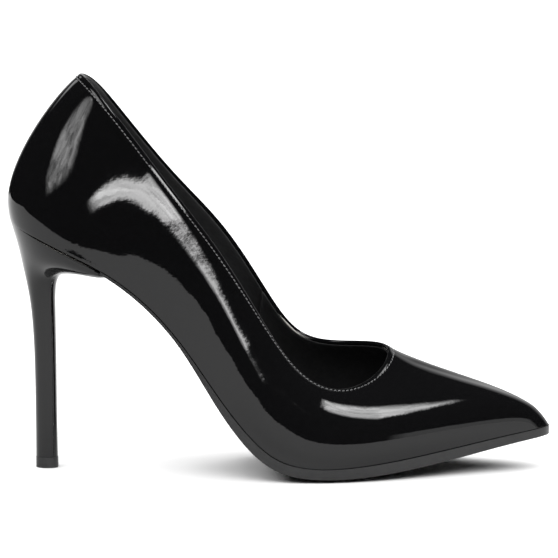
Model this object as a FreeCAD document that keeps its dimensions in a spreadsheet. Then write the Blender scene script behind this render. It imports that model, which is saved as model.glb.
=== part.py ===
"""High heel pump for the right foot: lasted upper, insole unit, outsole and stiletto heel.

Frame while modelling: X forward from the back of the heel, Y towards the inner side of the
foot, Z up from the floor, in millimetres. The last step slides every piece so that the origin
is the centre of the footprint.

The shoe is drawn on its last. The feather edge is the line where the wall of the last meets its
bottom, and the feather profile is that line seen from the side. Every flat layer (outsole,
insole board, sock) is a band at a stated depth above or below the profile. Every layer of the
wall (upper, stiffeners, linings) is a sheet at a stated depth inside one wall surface, which is
a ring of ribs from the feather edge to the topline. The ribs are those of the sample last, and
the sheet grades them to the size asked for.
"""
import FreeCAD, Part
import math
import os
from collections import namedtuple

import Sketcher

from FreeCAD import Placement, Rotation, Vector

doc = FreeCAD.newDocument("high_heel_pump")

# --------------------------------------------------------------------------------------------
# Driving dimensions
# --------------------------------------------------------------------------------------------
SIZES = [
    ("shoe_length", 222.0, "back of the heel seat to the toe tip"),
    ("seat_height", 102.3, "feather edge above the floor at the back"),
    ("ball_height", 5.8, "feather edge above the floor under the ball"),
    ("toe_rise", 11.8, "feather edge at the toe tip above that at the ball"),
    ("wall_grade", 1.0, "height of the wall against the sample last"),
    ("seat_width", 48.4, "bottom of the last across the heel seat"),
    ("waist_width", 39.5, "bottom of the last across the waist"),
    ("ball_width", 73.2, "bottom of the last across the ball"),
    ("upper_thickness", 1.0, "patent leather of the upper"),
    ("backer_thickness", 0.6, "toe puff, counter, interlining and tape"),
    ("lining_thickness", 0.7, "lining leather"),
    ("grip_thickness", 0.6, "suede heel grip"),
    ("glue_line", 0.12, "cement between two layers"),
    ("margin_width", 7.5, "lasting margin turned under the insole board"),
    ("board_thickness", 1.5, "insole board"),
    ("tuck_thickness", 1.5, "shank board, and the ball pad level with it"),
    ("heel_pad_thickness", 1.6, "foam pad under the sock at the seat"),
    ("sock_thickness", 0.8, "sock lining"),
    ("sole_thickness", 6.1, "outsole under the middle of the ball, before the tread is flattened"),
    ("sole_waist_thickness", 1.3, "outsole in the waist"),
    ("sole_edge_lift", 1.9, "rise of the outsole's edge above its middle"),
    ("stem_length", 9.1, "top lift from back to front"),
    ("stem_width", 9.2, "top lift from side to side"),
    ("stem_setback", 11.7, "back of the top lift ahead of the back of the seat"),
    ("heel_seat_length", 43.0, "heel seat from back to breast"),
    ("lift_height", 4.4, "top lift"),
    ("cover_thickness", 0.7, "patent leather round the heel"),
    ("flap_thickness", 1.5, "breast flap of the heel"),
    ("tube_diameter", 4.2, "steel tube up the heel"),
    ("tube_bore", 2.8, "bore of the steel tube"),
    ("tube_length", 62.0, "steel tube"),
    ("dowel_length", 11.0, "pin of the top lift above the lift"),
    ("shank_width", 11.0, "steel shank"),
    ("shank_thickness", 1.0, "steel shank"),
    ("rivet_diameter", 3.0, "rivets of the steel shank"),
    ("nail_diameter", 1.9, "heel nails"),
    ("nail_head", 3.6, "head of a heel nail"),
    ("nail_head_height", 0.9, "head of a heel nail"),
    ("nail_length", 13.0, "heel nails"),
    ("screw_diameter", 3.5, "heel screw"),
    ("screw_head", 7.0, "head of the heel screw"),
    ("screw_head_height", 1.3, "head of the heel screw"),
    ("screw_length", 16.0, "heel screw"),
    ("tip_radius", 0.2, "blunt end of a nail or screw"),
    ("dowel_chamfer", 0.4, "chamfer on the end of the top lift's pin"),
    ("stitch_inset", 1.7, "row of stitches below the topline"),
    ("thread_thickness", 0.35, "stitching thread"),
    ("fit_gap", 0.08, "radial clearance of a driven nail, screw or rivet"),
]

sheet = doc.addObject("Spreadsheet::Sheet", "sizes")
for row, (alias, value, note) in enumerate(SIZES, start=1):
    sheet.set("A%d" % row, alias)
    sheet.set("B%d" % row, str(value))
    sheet.set("C%d" % row, note)
    sheet.setAlias("B%d" % row, alias)
doc.recompute()


def size(alias):
    """Value of one driving dimension, read from the sheet."""
    return float(sheet.get(alias))


# --------------------------------------------------------------------------------------------
# Splines
# --------------------------------------------------------------------------------------------
def closed_poles(points):
    """Poles of the closed uniform cubic spline through the points."""
    poles = list(points)
    count = len(poles)
    for _ in range(60):
        for i in range(count):
            poles[i] = (points[i] * 6 - poles[i - 1] - poles[(i + 1) % count]) * 0.25
    return poles


def closed_sample(points, steps):
    """Points along the closed spline: each span of it is cut into the given number of steps."""
    poles = closed_poles(points)
    count = len(poles)
    samples = []
    for i in range(count):
        a, b, c, d = (poles[(i + k) % count] for k in (-1, 0, 1, 2))
        for step in range(steps):
            t = step / steps
            value = a * (1 - t) ** 3 + b * (3 * t ** 3 - 6 * t ** 2 + 4)
            value += c * (-3 * t ** 3 + 3 * t ** 2 + 3 * t + 1) + d * t ** 3
            samples.append(value * (1 / 6))
    return samples


def closed_curve(points):
    """Closed cubic spline curve through the points."""
    poles = closed_poles(points)
    poles = poles[-1:] + poles[:-1]
    count = len(poles)
    curve = Part.BSplineCurve()
    curve.buildFromPolesMultsKnots(poles, [1] * (count + 1), list(range(count + 1)), True, 3)
    return curve


def open_curve(points):
    """Cubic spline curve through the points."""
    curve = Part.BSplineCurve()
    curve.interpolate(points)
    return curve


def ring_surface(rows, first=0):
    """Smooth surface through closed rows of points, parameter u starting at the given point."""
    count = len(rows[0])
    parameters = [float(j) for j in range(len(rows))]
    pole_rows = [closed_poles(row) for row in rows]
    columns = []
    for i in range(count):
        column = Part.BSplineCurve()
        index = (first + i - 1) % count
        points = [poles[index] for poles in pole_rows]
        if len(rows) == 2:
            column.buildFromPolesMultsKnots(points, [2, 2], parameters, False, 1)
        else:
            column.interpolate(Points=points, Parameters=parameters)
        columns.append(column)
    across = columns[0]
    surface = Part.BSplineSurface()
    surface.buildFromPolesMultsKnots(
        [column.getPoles() for column in columns],
        [1] * (count + 1), across.getMultiplicities(),
        list(range(count + 1)), across.getKnots(),
        True, False, 3, across.Degree)
    return surface


# Trim of a sheet at each of its side edges, as a share of one step round the shoe.
SEAM_TRIM = 0.04


def solid_from(faces):
    """One closed solid from faces that share their edges, facing outward."""
    shell = Part.makeCompound(faces)
    shell.sewShape()
    shell = shell.Shells[0] if shell.Shells else shell
    solid = Part.makeSolid(shell)
    if solid.Volume < 0:
        solid.reverse()
    return solid


def ring_solid(groups):
    """Closed ring whose section is the chain of row groups: each group is one smooth surface.

    Neighbouring groups share a row, and the last group ends on the first row of the first.
    """
    half = len(groups[0][0]) // 2
    faces = []
    for rows in groups:
        surface = ring_surface(rows)
        end = len(rows) - 1
        for start in (0, half):
            faces.append(surface.toShape(start, start + half, 0, end))
    return solid_from(faces)


def patch_solid(outer_rows, inner_rows, first, span):
    """Sheet between two sets of rows, from point number first over a span of points."""
    surfaces = [ring_surface(outer_rows, first), ring_surface(inner_rows, first)]
    top = len(outer_rows) - 1
    begin = SEAM_TRIM
    end = span - SEAM_TRIM
    faces = [surface.toShape(begin, end, 0, top) for surface in surfaces]
    for along in (0, top):
        edges = [surface.vIso(along).toShape(begin, end) for surface in surfaces]
        faces.append(Part.makeRuledSurface(*edges))
    for around in (begin, end):
        edges = [surface.uIso(around).toShape(0, top) for surface in surfaces]
        faces.append(Part.makeRuledSurface(*edges))
    return solid_from(faces)


# --------------------------------------------------------------------------------------------
# Feather profile: the bottom of the last seen from the side
# --------------------------------------------------------------------------------------------
# Rear part: share of the shoe's length, and of the drop from the seat to the ball.
REAR_PROFILE = [
    (0.0095, 1.000), (0.090, 0.914), (0.180, 0.810), (0.250, 0.688), (0.322, 0.508),
    (0.399, 0.263), (0.450, 0.124), (0.500, 0.035), (0.565, 0.000),
]
# Fore part: share of the shoe's length, and of the toe's rise.
FORE_PROFILE = [(0.640, 0.015), (0.740, 0.225), (0.870, 0.610), (1.000, 1.000)]

shoe_length = size("shoe_length")
ball_height = size("ball_height")
drop = size("seat_height") - ball_height
profile_points = [Vector(x * shoe_length, 0, ball_height + z * drop) for x, z in REAR_PROFILE]
profile_points += [
    Vector(x * shoe_length, 0, ball_height + z * size("toe_rise")) for x, z in FORE_PROFILE]
profile = open_curve(profile_points)
TOE_X = profile_points[-1].x
BACK_X = profile_points[0].x


def profile_parameter(x):
    """Parameter of the profile at a distance along the shoe."""
    low = profile.FirstParameter
    high = profile.LastParameter
    for _ in range(40):
        middle = (low + high) / 2
        if profile.value(middle).x < x:
            low = middle
        else:
            high = middle
    return (low + high) / 2


def profile_frame(x):
    """Point of the profile at a distance along the shoe, and the normal there, upward."""
    x_inside = min(max(x, BACK_X), TOE_X)
    parameter = profile_parameter(x_inside)
    tangent = profile.tangent(parameter)[0]
    point = profile.value(parameter)
    point += tangent * ((x - x_inside) / tangent.x)
    return point, Vector(-tangent.z, 0, tangent.x)


# --------------------------------------------------------------------------------------------
# Wall of the last: ribs of the sample last
# --------------------------------------------------------------------------------------------
SAMPLE_LENGTH = 222.0
SAMPLE_WIDTHS = {"seat_width": 48.4, "waist_width": 39.5, "ball_width": 73.2}

# foot: distance along and half width at the feather edge. top: distance along, half width and
# rise above the profile at the topline. leave, arrive: how far the wall's curve reaches out of
# its foot and its top, forward, outward and up, as shares of the straight line between them.
Rib = namedtuple("Rib", "zone foot top leave arrive")

BACK_RIB = Rib("seat_width", (2.2, 0.0), (30.9, 0.0, 72.9), (-0.106, 0, 0.252), (-0.191, 0, -0.140))
TOE_RIB = Rib("ball_width", (222.0, 0.0), (156.9, 2.4, 40.9), (-0.033, 0, 0.216), (0.153, 0, -0.150))

OUTER_RIBS = [
    Rib("seat_width", (5.5, 11.5), (33.3, 9.0, 72.6), (-0.10, 0.04, 0.26), (-0.17, 0.03, -0.16)),
    Rib("seat_width", (16.0, 20.5), (40.5, 15.8, 69.3), (0.00, 0.08, 0.27), (-0.13, 0.075, -0.22)),
    Rib("seat_width", (34.0, 24.2), (53.0, 19.6, 63.1), (0.04, 0.05, 0.29), (-0.12, 0.09, -0.27)),
    Rib("waist_width", (56.0, 21.3), (68.5, 21.6, 58.6), (0.04, 0.05, 0.30), (-0.10, 0.115, -0.30)),
    Rib("waist_width", (79.0, 23.5), (85.0, 22.8, 59.6), (0.02, 0.05, 0.30), (-0.04, 0.14, -0.31)),
    Rib("ball_width", (100.0, 31.8), (100.5, 24.0, 54.9), (0.00, 0.03, 0.28), (0.00, 0.18, -0.29)),
    Rib("ball_width", (121.0, 36.6), (113.5, 24.6, 43.1), (0.01, 0.04, 0.29), (0.05, 0.23, -0.25)),
    Rib("ball_width", (143.0, 34.4), (125.5, 23.6, 33.4), (0.05, 0.11, 0.34), (0.13, 0.25, -0.18)),
    Rib("ball_width", (165.0, 27.2), (137.5, 20.2, 30.2), (0.10, 0.16, 0.36), (0.24, 0.19, -0.09)),
    Rib("ball_width", (187.0, 18.2), (148.0, 13.4, 32.2), (0.10, 0.13, 0.32), (0.28, 0.13, -0.10)),
    Rib("ball_width", (205.0, 11.4), (154.2, 6.8, 36.3), (0.05, 0.075, 0.28), (0.22, 0.07, -0.12)),
    Rib("ball_width", (218.0, 6.2), (156.5, 1.8, 39.6), (0.01, 0.03, 0.24), (0.165, 0.02, -0.145)),
]
INNER_RIBS = [
    Rib("seat_width", (5.5, 11.5), (33.3, 8.8, 72.6), (-0.10, 0.05, 0.26), (-0.17, 0.03, -0.16)),
    Rib("seat_width", (16.0, 20.3), (40.5, 15.6, 69.5), (0.00, 0.10, 0.27), (-0.13, 0.075, -0.22)),
    Rib("seat_width", (34.0, 22.9), (53.5, 19.3, 62.9), (0.04, 0.10, 0.29), (-0.12, 0.10, -0.27)),
    Rib("waist_width", (56.0, 18.2), (70.0, 21.4, 60.5), (0.04, 0.19, 0.26), (-0.10, 0.12, -0.30)),
    Rib("waist_width", (79.0, 17.4), (88.0, 22.4, 65.5), (0.02, 0.22, 0.23), (-0.05, 0.13, -0.31)),
    Rib("ball_width", (100.0, 25.4), (103.5, 23.2, 60.6), (0.00, 0.17, 0.23), (0.00, 0.15, -0.31)),
    Rib("ball_width", (121.0, 34.5), (116.5, 23.6, 48.8), (0.00, 0.11, 0.27), (0.03, 0.19, -0.28)),
    Rib("ball_width", (143.0, 36.6), (128.0, 22.6, 44.3), (0.02, 0.08, 0.32), (0.09, 0.22, -0.21)),
    Rib("ball_width", (165.0, 30.8), (138.5, 19.6, 43.7), (0.04, 0.06, 0.35), (0.18, 0.18, -0.13)),
    Rib("ball_width", (187.0, 20.4), (147.2, 15.0, 43.6), (0.03, 0.05, 0.31), (0.22, 0.11, -0.11)),
    Rib("ball_width", (205.0, 12.4), (153.2, 10.6, 43.0), (0.01, 0.035, 0.27), (0.19, 0.05, -0.13)),
    Rib("ball_width", (218.0, 6.4), (156.1, 6.0, 42.0), (0.00, 0.02, 0.235), (0.16, 0.016, -0.145)),
]

RIB_STEPS = 4
RIB_COUNT = len(OUTER_RIBS) + len(INNER_RIBS) + 2
AROUND = RIB_COUNT * RIB_STEPS
TOE_INDEX = (len(OUTER_RIBS) + 1) * RIB_STEPS


def rib_poles(rib, side):
    """Foot, two inner poles and top of one rib, graded. Side is -1 outside and +1 inside."""
    along = shoe_length / SAMPLE_LENGTH
    across = side * size(rib.zone) / SAMPLE_WIDTHS[rib.zone]
    foot = profile_frame(rib.foot[0] * along)[0]
    top = profile_frame(rib.top[0] * along)[0]
    foot.y = rib.foot[1] * across
    top.y = rib.top[1] * across
    top.z += rib.top[2] * size("wall_grade")
    reach = (top - foot).Length
    leave = Vector(rib.leave[0], rib.leave[1] * side, rib.leave[2]) * reach
    arrive = Vector(rib.arrive[0], rib.arrive[1] * side, rib.arrive[2]) * reach
    return foot, foot + leave, top + arrive, top


ribs = [rib_poles(BACK_RIB, 1)]
ribs += [rib_poles(rib, -1) for rib in OUTER_RIBS]
ribs += [rib_poles(TOE_RIB, 1)]
ribs += [rib_poles(rib, 1) for rib in reversed(INNER_RIBS)]

# The four closed lines of poles, sampled finely; the feather edge is put back on the profile.
feet, leaves, arrivals, tops = (closed_sample([rib[k] for rib in ribs], RIB_STEPS) for k in range(4))
for foot in feet:
    foot.z = profile_frame(foot.x)[0].z

rib_lengths = []
for i in range(AROUND):
    rib_curve = Part.BezierCurve()
    rib_curve.setPoles([feet[i], leaves[i], arrivals[i], tops[i]])
    rib_lengths.append(rib_curve.length())


def wall_point(i, v):
    """Point of the wall on rib i at share v of the way from the feather edge to the topline."""
    i %= AROUND
    near_foot = feet[i] * (1 - v) ** 3 + leaves[i] * (3 * v * (1 - v) ** 2)
    return near_foot + arrivals[i] * (3 * v ** 2 * (1 - v)) + tops[i] * v ** 3


def wall_row(depth, low, share, high=1.0):
    """Closed row of points inside the wall at a depth.

    low and high give each rib's own limits, as numbers or functions of the rib, and share says
    how far the row lies between them.
    """
    row = []
    step = 0.002
    for i in range(AROUND):
        start = low(i) if callable(low) else low
        end = high(i) if callable(high) else high
        v = start + (end - start) * share
        around = wall_point(i + 1, v) - wall_point(i - 1, v)
        upward = wall_point(i, v + step) - wall_point(i, v - step)
        outward = around.cross(upward)
        outward.normalize()
        row.append(wall_point(i, v) - outward * depth)
    return row


WALL_ROWS = 8


def wall_rows(depth, low=0.0, high=1.0):
    """Rows of a whole wall sheet from its low to its high limit."""
    return [wall_row(depth, low, j / WALL_ROWS, high) for j in range(WALL_ROWS + 1)]


def below_top(distance):
    """Function of the rib: the share of the rib that lies a distance below the topline."""
    return lambda i: 1 - distance / rib_lengths[i % AROUND]


def above_feather(distance):
    """Function of the rib: the share of the rib that lies a distance above the feather edge."""
    return lambda i: distance / rib_lengths[i % AROUND]


def rib_index(number):
    """Number of the sample row on an outer rib, counted from the back of the shoe."""
    return int(round(number * RIB_STEPS))


# --------------------------------------------------------------------------------------------
# Plan outline and flat layers
# --------------------------------------------------------------------------------------------
def plan_ring(inset):
    """Feather edge seen from above, moved inward by an inset, as points with Z zero."""
    ring = []
    for i in range(AROUND):
        ahead = feet[(i + 1) % AROUND]
        behind = feet[i - 1]
        tangent = Vector(ahead.x - behind.x, ahead.y - behind.y, 0)
        tangent.normalize()
        inward = Vector(-tangent.y, tangent.x, 0)
        ring.append(Vector(feet[i].x, feet[i].y, 0) + inward * inset)
    return ring


def on_profile(ring, depth):
    """Points of a plan ring laid on the profile at a depth above it."""
    laid = []
    for point in ring:
        base, normal = profile_frame(point.x)
        laid.append(Vector(base.x, point.y, base.z) + normal * depth)
    return laid


PLAN_LOW = -30.0
PLAN_HIGH = 260.0


def plan_prism(inset):
    """Upright prism over the plan outline, moved inward by an inset."""
    wire = Part.Wire([closed_curve(plan_ring(inset)).toShape()])
    face = Part.Face(wire)
    face.translate(Vector(0, 0, PLAN_LOW))
    return face.extrude(Vector(0, 0, PLAN_HIGH - PLAN_LOW))


PROFILE_STATIONS = 48
HALF_SPAN = 60.0


def band(start, end, low, high):
    """Bar across the shoe between two depths of the profile, from one distance to another.

    The depths are numbers or functions of the distance along.
    """
    def edge(depth):
        points = []
        for k in range(PROFILE_STATIONS + 1):
            x = start + (end - start) * k / PROFILE_STATIONS
            base, normal = profile_frame(x)
            points.append(base + normal * (depth(x) if callable(depth) else depth))
        return open_curve(points)

    lower = edge(low)
    upper = edge(high)
    ends = [(c.value(c.FirstParameter), c.value(c.LastParameter)) for c in (lower, upper)]
    wire = Part.Wire([
        lower.toShape(),
        Part.makeLine(ends[0][1], ends[1][1]),
        upper.toShape(),
        Part.makeLine(ends[1][0], ends[0][0]),
    ])
    face = Part.Face(wire)
    face.translate(Vector(0, -HALF_SPAN, 0))
    return face.extrude(Vector(0, 2 * HALF_SPAN, 0))


def plate(inset, start, end, low, high):
    """Flat layer of the shoe: the band cut to the plan outline."""
    return plan_prism(inset).common(band(start, end, low, high))


def driven(x, y, depth, shape):
    """Shape that is drawn pointing down from its head, driven in square to the profile."""
    base, normal = profile_frame(x)
    top = Vector(base.x, y, base.z) + normal * depth
    placed = shape.copy()
    placed.Placement = Placement(top, Rotation(Vector(0, 0, 1), normal))
    return placed


pieces = []


def add_feature(label, shape):
    """Document object that holds one finished sub-part."""
    feature = doc.addObject("Part::Feature", label)
    feature.Label = label
    feature.Shape = shape.Solids[0] if len(shape.Solids) == 1 else shape
    pieces.append(feature)
    return feature


# --------------------------------------------------------------------------------------------
# Depths of the layers
# --------------------------------------------------------------------------------------------
glue = size("glue_line")
upper_t = size("upper_thickness")
backer_out = upper_t + glue
backer_in = backer_out + size("backer_thickness")
lining_out = backer_in + glue
lining_in = lining_out + size("lining_thickness")
grip_out = lining_in + glue
grip_in = grip_out + size("grip_thickness")

board_low = upper_t + glue
board_high = board_low + size("board_thickness")
tuck_low = board_high + glue
tuck_high = tuck_low + size("tuck_thickness")
sock_low = tuck_high + glue
sole_top = -glue

# The backers and linings start above the lasting margin.
wall_foot = above_feather(board_low + glue)
BOARD_CLEAR = 1.05
TUCK_CLEAR = 0.7
SOCK_CLEAR = 1.7
board_inset = lining_in + BOARD_CLEAR
tuck_inset = lining_in + TUCK_CLEAR
sock_inset = lining_in + SOCK_CLEAR

# --------------------------------------------------------------------------------------------
# Upper and what is inside its wall
# --------------------------------------------------------------------------------------------
TAPE_WIDTH = 6.0
TAPE_BELOW_EDGE = 0.5
LINING_BELOW_EDGE = 0.4
PUFF_START = rib_index(9.5)
COUNTER_END = rib_index(4.0)
TAPE_GAP = 0.5
GRIP_FOOT_SHARE = 0.38
GRIP_BELOW_EDGE = 5.0
VAMP_START = rib_index(6.0)
PUFF_SHARE = 0.58


def make_upper():
    """Whole-cut upper with the lasting margin turned under the insole board."""
    corner = above_feather(upper_t)
    outside = wall_rows(0.0)[::-1]
    inside = wall_rows(upper_t, corner)
    margin_edge = plan_ring(size("margin_width"))
    under = on_profile(margin_edge, 0.0)
    over = on_profile(margin_edge, upper_t)
    return ring_solid([
        outside,
        [outside[-1], under],
        [under, over],
        [over, inside[0]],
        inside,
        [inside[-1], outside[0]],
    ])


def wall_sheet(outer_depth, inner_depth, first, span, low, high):
    """Sheet inside the wall over part of the way round."""
    return patch_solid(
        wall_rows(outer_depth, low, high), wall_rows(inner_depth, low, high), first, span)


def make_toe_puff():
    """Stiffener over the toe."""
    span = 2 * (TOE_INDEX - PUFF_START)
    return wall_sheet(backer_out, backer_in, PUFF_START, span, wall_foot, PUFF_SHARE)


def make_counter():
    """Moulded stiffener round the back of the heel."""
    high = below_top(TAPE_BELOW_EDGE + TAPE_WIDTH + TAPE_GAP)
    return wall_sheet(backer_out, backer_in, -COUNTER_END, 2 * COUNTER_END, wall_foot, high)


def make_interlining(side):
    """Backing cloth between the counter and the toe puff, on one side of the shoe."""
    high = below_top(TAPE_BELOW_EDGE + TAPE_WIDTH + TAPE_GAP)
    span = PUFF_START - COUNTER_END
    first = COUNTER_END if side < 0 else AROUND - PUFF_START
    return wall_sheet(backer_out, backer_in, first, span, wall_foot, high)


def make_tape():
    """Reinforcing tape all round under the topline."""
    low = below_top(TAPE_BELOW_EDGE + TAPE_WIDTH)
    high = below_top(TAPE_BELOW_EDGE)
    outer = [wall_row(backer_out, low, j / 2, high) for j in range(3)]
    inner = [wall_row(backer_in, low, j / 2, high) for j in range(3)]
    return ring_solid([outer, [outer[-1], inner[-1]], inner[::-1], [inner[0], outer[0]]])


def make_vamp_lining():
    """Lining of the fore part."""
    span = 2 * (TOE_INDEX - VAMP_START)
    return wall_sheet(
        lining_out, lining_in, VAMP_START, span, wall_foot, below_top(LINING_BELOW_EDGE))


def make_quarter_lining(side):
    """Lining of one quarter, from the back of the heel to the seam with the vamp lining."""
    first = 0 if side < 0 else AROUND - VAMP_START
    high = below_top(LINING_BELOW_EDGE)
    return wall_sheet(lining_out, lining_in, first, VAMP_START, wall_foot, high)


def make_heel_grip():
    """Suede pad inside the back of the heel."""
    reach = rib_index(2.0)
    return wall_sheet(grip_out, grip_in, -reach, 2 * reach, GRIP_FOOT_SHARE,
                      below_top(GRIP_BELOW_EDGE))


def make_stitching():
    """Row of stitches round the topline, as one thread laid on the upper."""
    inset = size("stitch_inset")
    thread = size("thread_thickness")
    low = below_top(inset + thread / 2)
    high = below_top(inset - thread / 2)
    proud = -0.02
    outer = [wall_row(proud - thread, low, share, high) for share in (0.0, 1.0)]
    inner = [wall_row(proud, low, share, high) for share in (0.0, 1.0)]
    return ring_solid([outer, [outer[1], inner[1]], inner[::-1], [inner[0], outer[0]]])


# --------------------------------------------------------------------------------------------
# Flat layers under the foot
# --------------------------------------------------------------------------------------------
SHANK_START = 14.0
SHANK_END_SHARE = 0.395
TUCK_START = 7.0
TUCK_END_SHARE = 0.41
BALL_PAD_END_SHARE = 0.80
BALL_PAD_INSET = 1.5
HEEL_PAD_INSET = 3.5
PAD_EDGE = 0.15
PAD_RUNOUT = 6.0
HEEL_PAD_START = 9.0
HEEL_PAD_END = 50.0
FILLER_START_SHARE = 0.42
FILLER_END_SHARE = 0.90
RIVET_SHARES = (0.175, 0.355)
NAIL_RING = (8.5, 11.5)
NAIL_ANGLES = (36.0, 108.0, 180.0, 252.0, 324.0)
SEAT_CENTRE = 19.5
PLATE_GAP = 0.6
SOLE_PROUD = 0.4
SOLE_START_UNDER_HEEL = 3.0
SOLE_PAST_TOE = 4.0
SOLE_TOE_THINNING = 0.6
THIN_WAIST_SHARE = 0.30
FULL_BALL_SHARE = 0.53
TOE_TURN_SHARE = 0.62
CROWN_WAIST_SHARE = 0.36
CROWN_BALL_SHARE = 0.52
CROWN_AT_WAIST = 0.15
CROWN_LOST_AT_TOE = 0.6
CROWN_RISE = 1.5
UNDER_REACH = 0.62
UNDER_BEHIND = 6.0
UNDER_EXTRA = 16.0
STRIP_PAST_ENDS = 5.0

heel_seat_length = size("heel_seat_length")


def headed_hole(name, grow):
    """Hole for a nail or screw driven down from its head, grown by a clearance and open above."""
    radius = size(name + "_diameter") / 2
    length = size(name + "_length")
    outline = [
        (0.0, 1.0),
        (size(name + "_head") / 2 + grow, 1.0),
        (size(name + "_head") / 2 + grow, 0.0),
        (radius + grow, -size(name + "_head_height") - grow),
        (radius + grow, 2 * radius - length),
        (size("tip_radius") + grow, -length - grow),
        (0.0, -length - grow),
    ]
    corners = [Vector(r, 0, z) for r, z in outline]
    face = Part.Face(Part.makePolygon(corners + corners[:1]))
    return face.revolve(Vector(0, 0, 0), Vector(0, 0, 1), 360)


def nail_places():
    """Distance along and across of each heel nail, on an oval round the seat's centre."""
    places = []
    for angle in NAIL_ANGLES:
        turn = math.radians(angle)
        x = SEAT_CENTRE + NAIL_RING[0] * math.cos(turn)
        places.append((x, NAIL_RING[1] * math.sin(turn)))
    return places


rivet_low = glue / 2
rivet_length = tuck_high - glue


def make_rivet_holes():
    """Holes for the rivets, as separate shapes."""
    grow = size("fit_gap")
    holes = []
    for share in RIVET_SHARES:
        hole = Part.makeCylinder(
            size("rivet_diameter") / 2 + grow, rivet_length + 2.0, Vector(0, 0, 1.0),
            Vector(0, 0, -1))
        holes.append(driven(share * shoe_length, 0, tuck_high, hole))
    return holes


def sock_base(x):
    """Underside of the sock lining, raised over the heel pad."""
    middle = (HEEL_PAD_START + HEEL_PAD_END) / 2
    reach = (HEEL_PAD_END - HEEL_PAD_START) / 2
    share = max(0.0, 1 - ((x - middle) / (reach + PAD_RUNOUT)) ** 2)
    return sock_low + size("heel_pad_thickness") * share


def sole_base(x):
    """Underside of the outsole: thin in the waist, full under the ball and a little less at the toe."""
    waist = THIN_WAIST_SHARE * shoe_length
    ball = FULL_BALL_SHARE * shoe_length
    toe = shoe_length
    thin = size("sole_waist_thickness")
    full = size("sole_thickness")
    edge = full - size("sole_edge_lift") - SOLE_TOE_THINNING
    if x <= waist:
        return -thin
    if x <= ball:
        share = (x - waist) / (ball - waist)
        share = share ** 2 * (3 - 2 * share)
        return -(thin + (full - thin) * share)
    turn = TOE_TURN_SHARE * shoe_length
    share = min(1.0, (x - turn) / (toe - turn))
    share = max(0.0, share)
    share = share ** 2 * (3 - 2 * share)
    return -(full + (edge - full) * share)


def make_under_surface():
    """Crowned underside of the outsole, as a solid that takes away all below it."""
    rows = []
    reach = UNDER_REACH * size("ball_width")
    for share in (-1.0, -0.5, 0.0, 0.5, 1.0):
        row = []
        for k in range(PROFILE_STATIONS + 1):
            x = -UNDER_BEHIND + (shoe_length + UNDER_EXTRA) * k / PROFILE_STATIONS
            base, normal = profile_frame(x)
            crown = size("sole_edge_lift") * crown_share(x) * share ** 2 * CROWN_RISE
            point = base + normal * (sole_base(x) + crown)
            row.append(Vector(point.x, share * reach, point.z))
        rows.append(row)
    surface = Part.BSplineSurface()
    surface.interpolate(rows)
    return surface.toShape().extrude(Vector(0, 0, -2 * PLAN_HIGH))


def crown_share(x):
    """How much of the crown the underside has: all at the ball, little in the waist and at the toe."""
    waist = CROWN_WAIST_SHARE * shoe_length
    ball = CROWN_BALL_SHARE * shoe_length
    if x <= waist:
        return CROWN_AT_WAIST
    if x <= ball:
        share = (x - waist) / (ball - waist)
        return CROWN_AT_WAIST + (1 - CROWN_AT_WAIST) * share ** 2 * (3 - 2 * share)
    share = max(0.0, (x - TOE_TURN_SHARE * shoe_length) / ((1 - TOE_TURN_SHARE) * shoe_length))
    return 1.0 - CROWN_LOST_AT_TOE * share ** 2 * (3 - 2 * share)


def make_outsole():
    """Outsole from the breast of the heel to the toe, a little proud of the upper."""
    start = heel_seat_length - SOLE_START_UNDER_HEEL
    sole = plate(-SOLE_PROUD, start, shoe_length + SOLE_PAST_TOE, -3 * size("sole_thickness"), sole_top)
    floor = Part.makeBox(
        2 * PLAN_HIGH, 4 * HALF_SPAN, 4 * HALF_SPAN,
        Vector(-PLAN_HIGH / 2, -2 * HALF_SPAN, -4 * HALF_SPAN))
    sole = cut_all(sole, [make_under_surface(), floor, make_heel_form(-glue)])
    return max(sole.Solids, key=lambda solid: solid.Volume)


def slot_prism(start, end, width):
    """Upright prism with round ends, for a strip that runs along the middle of the shoe."""
    radius = width / 2
    low = Vector(0, 0, PLAN_LOW)
    bar = Part.makeBox(
        end - start - width, width, PLAN_HIGH - PLAN_LOW, low + Vector(start + radius, -radius, 0))
    ends = [
        Part.makeCylinder(radius, PLAN_HIGH - PLAN_LOW, low + Vector(x, 0, 0))
        for x in (start + radius, end - radius)]
    return bar.fuse(ends)


def cut_all(shape, tools):
    """Shape with every tool taken away."""
    for tool in tools:
        shape = shape.cut(tool)
    return shape


def make_steel_shank():
    """Spring steel strip under the insole board, from the heel seat to behind the ball."""
    end = SHANK_END_SHARE * shoe_length
    strip = slot_prism(SHANK_START, end, size("shank_width"))
    high = size("shank_thickness") - glue / 2
    strip = strip.common(band(SHANK_START - STRIP_PAST_ENDS, end + STRIP_PAST_ENDS, 0.0, high))
    return cut_all(strip, rivet_holes + [screw_hole])


def make_insole_board():
    """Insole board over the whole bottom of the last."""
    board = plate(board_inset, 0.0, shoe_length, board_low, board_high)
    return cut_all(board, rivet_holes + nail_holes + [screw_hole])


def make_shank_board():
    """Hard fibre board that stiffens the rear of the insole."""
    board = plate(
        tuck_inset, TUCK_START, TUCK_END_SHARE * shoe_length, tuck_low, tuck_high)
    return cut_all(board, rivet_holes + nail_holes + [screw_hole])


def make_ball_pad():
    """Foam pad under the ball, level with the shank board."""
    start = TUCK_END_SHARE * shoe_length + PLATE_GAP
    return plate(sock_inset + BALL_PAD_INSET, start, BALL_PAD_END_SHARE * shoe_length, tuck_low, tuck_high)


def make_bottom_filler():
    """Cork filler that levels the hollow inside the lasting margin."""
    start = FILLER_START_SHARE * shoe_length
    end = FILLER_END_SHARE * shoe_length
    return plate(size("margin_width") + PLATE_GAP, start, end, 0.0, upper_t)


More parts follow.
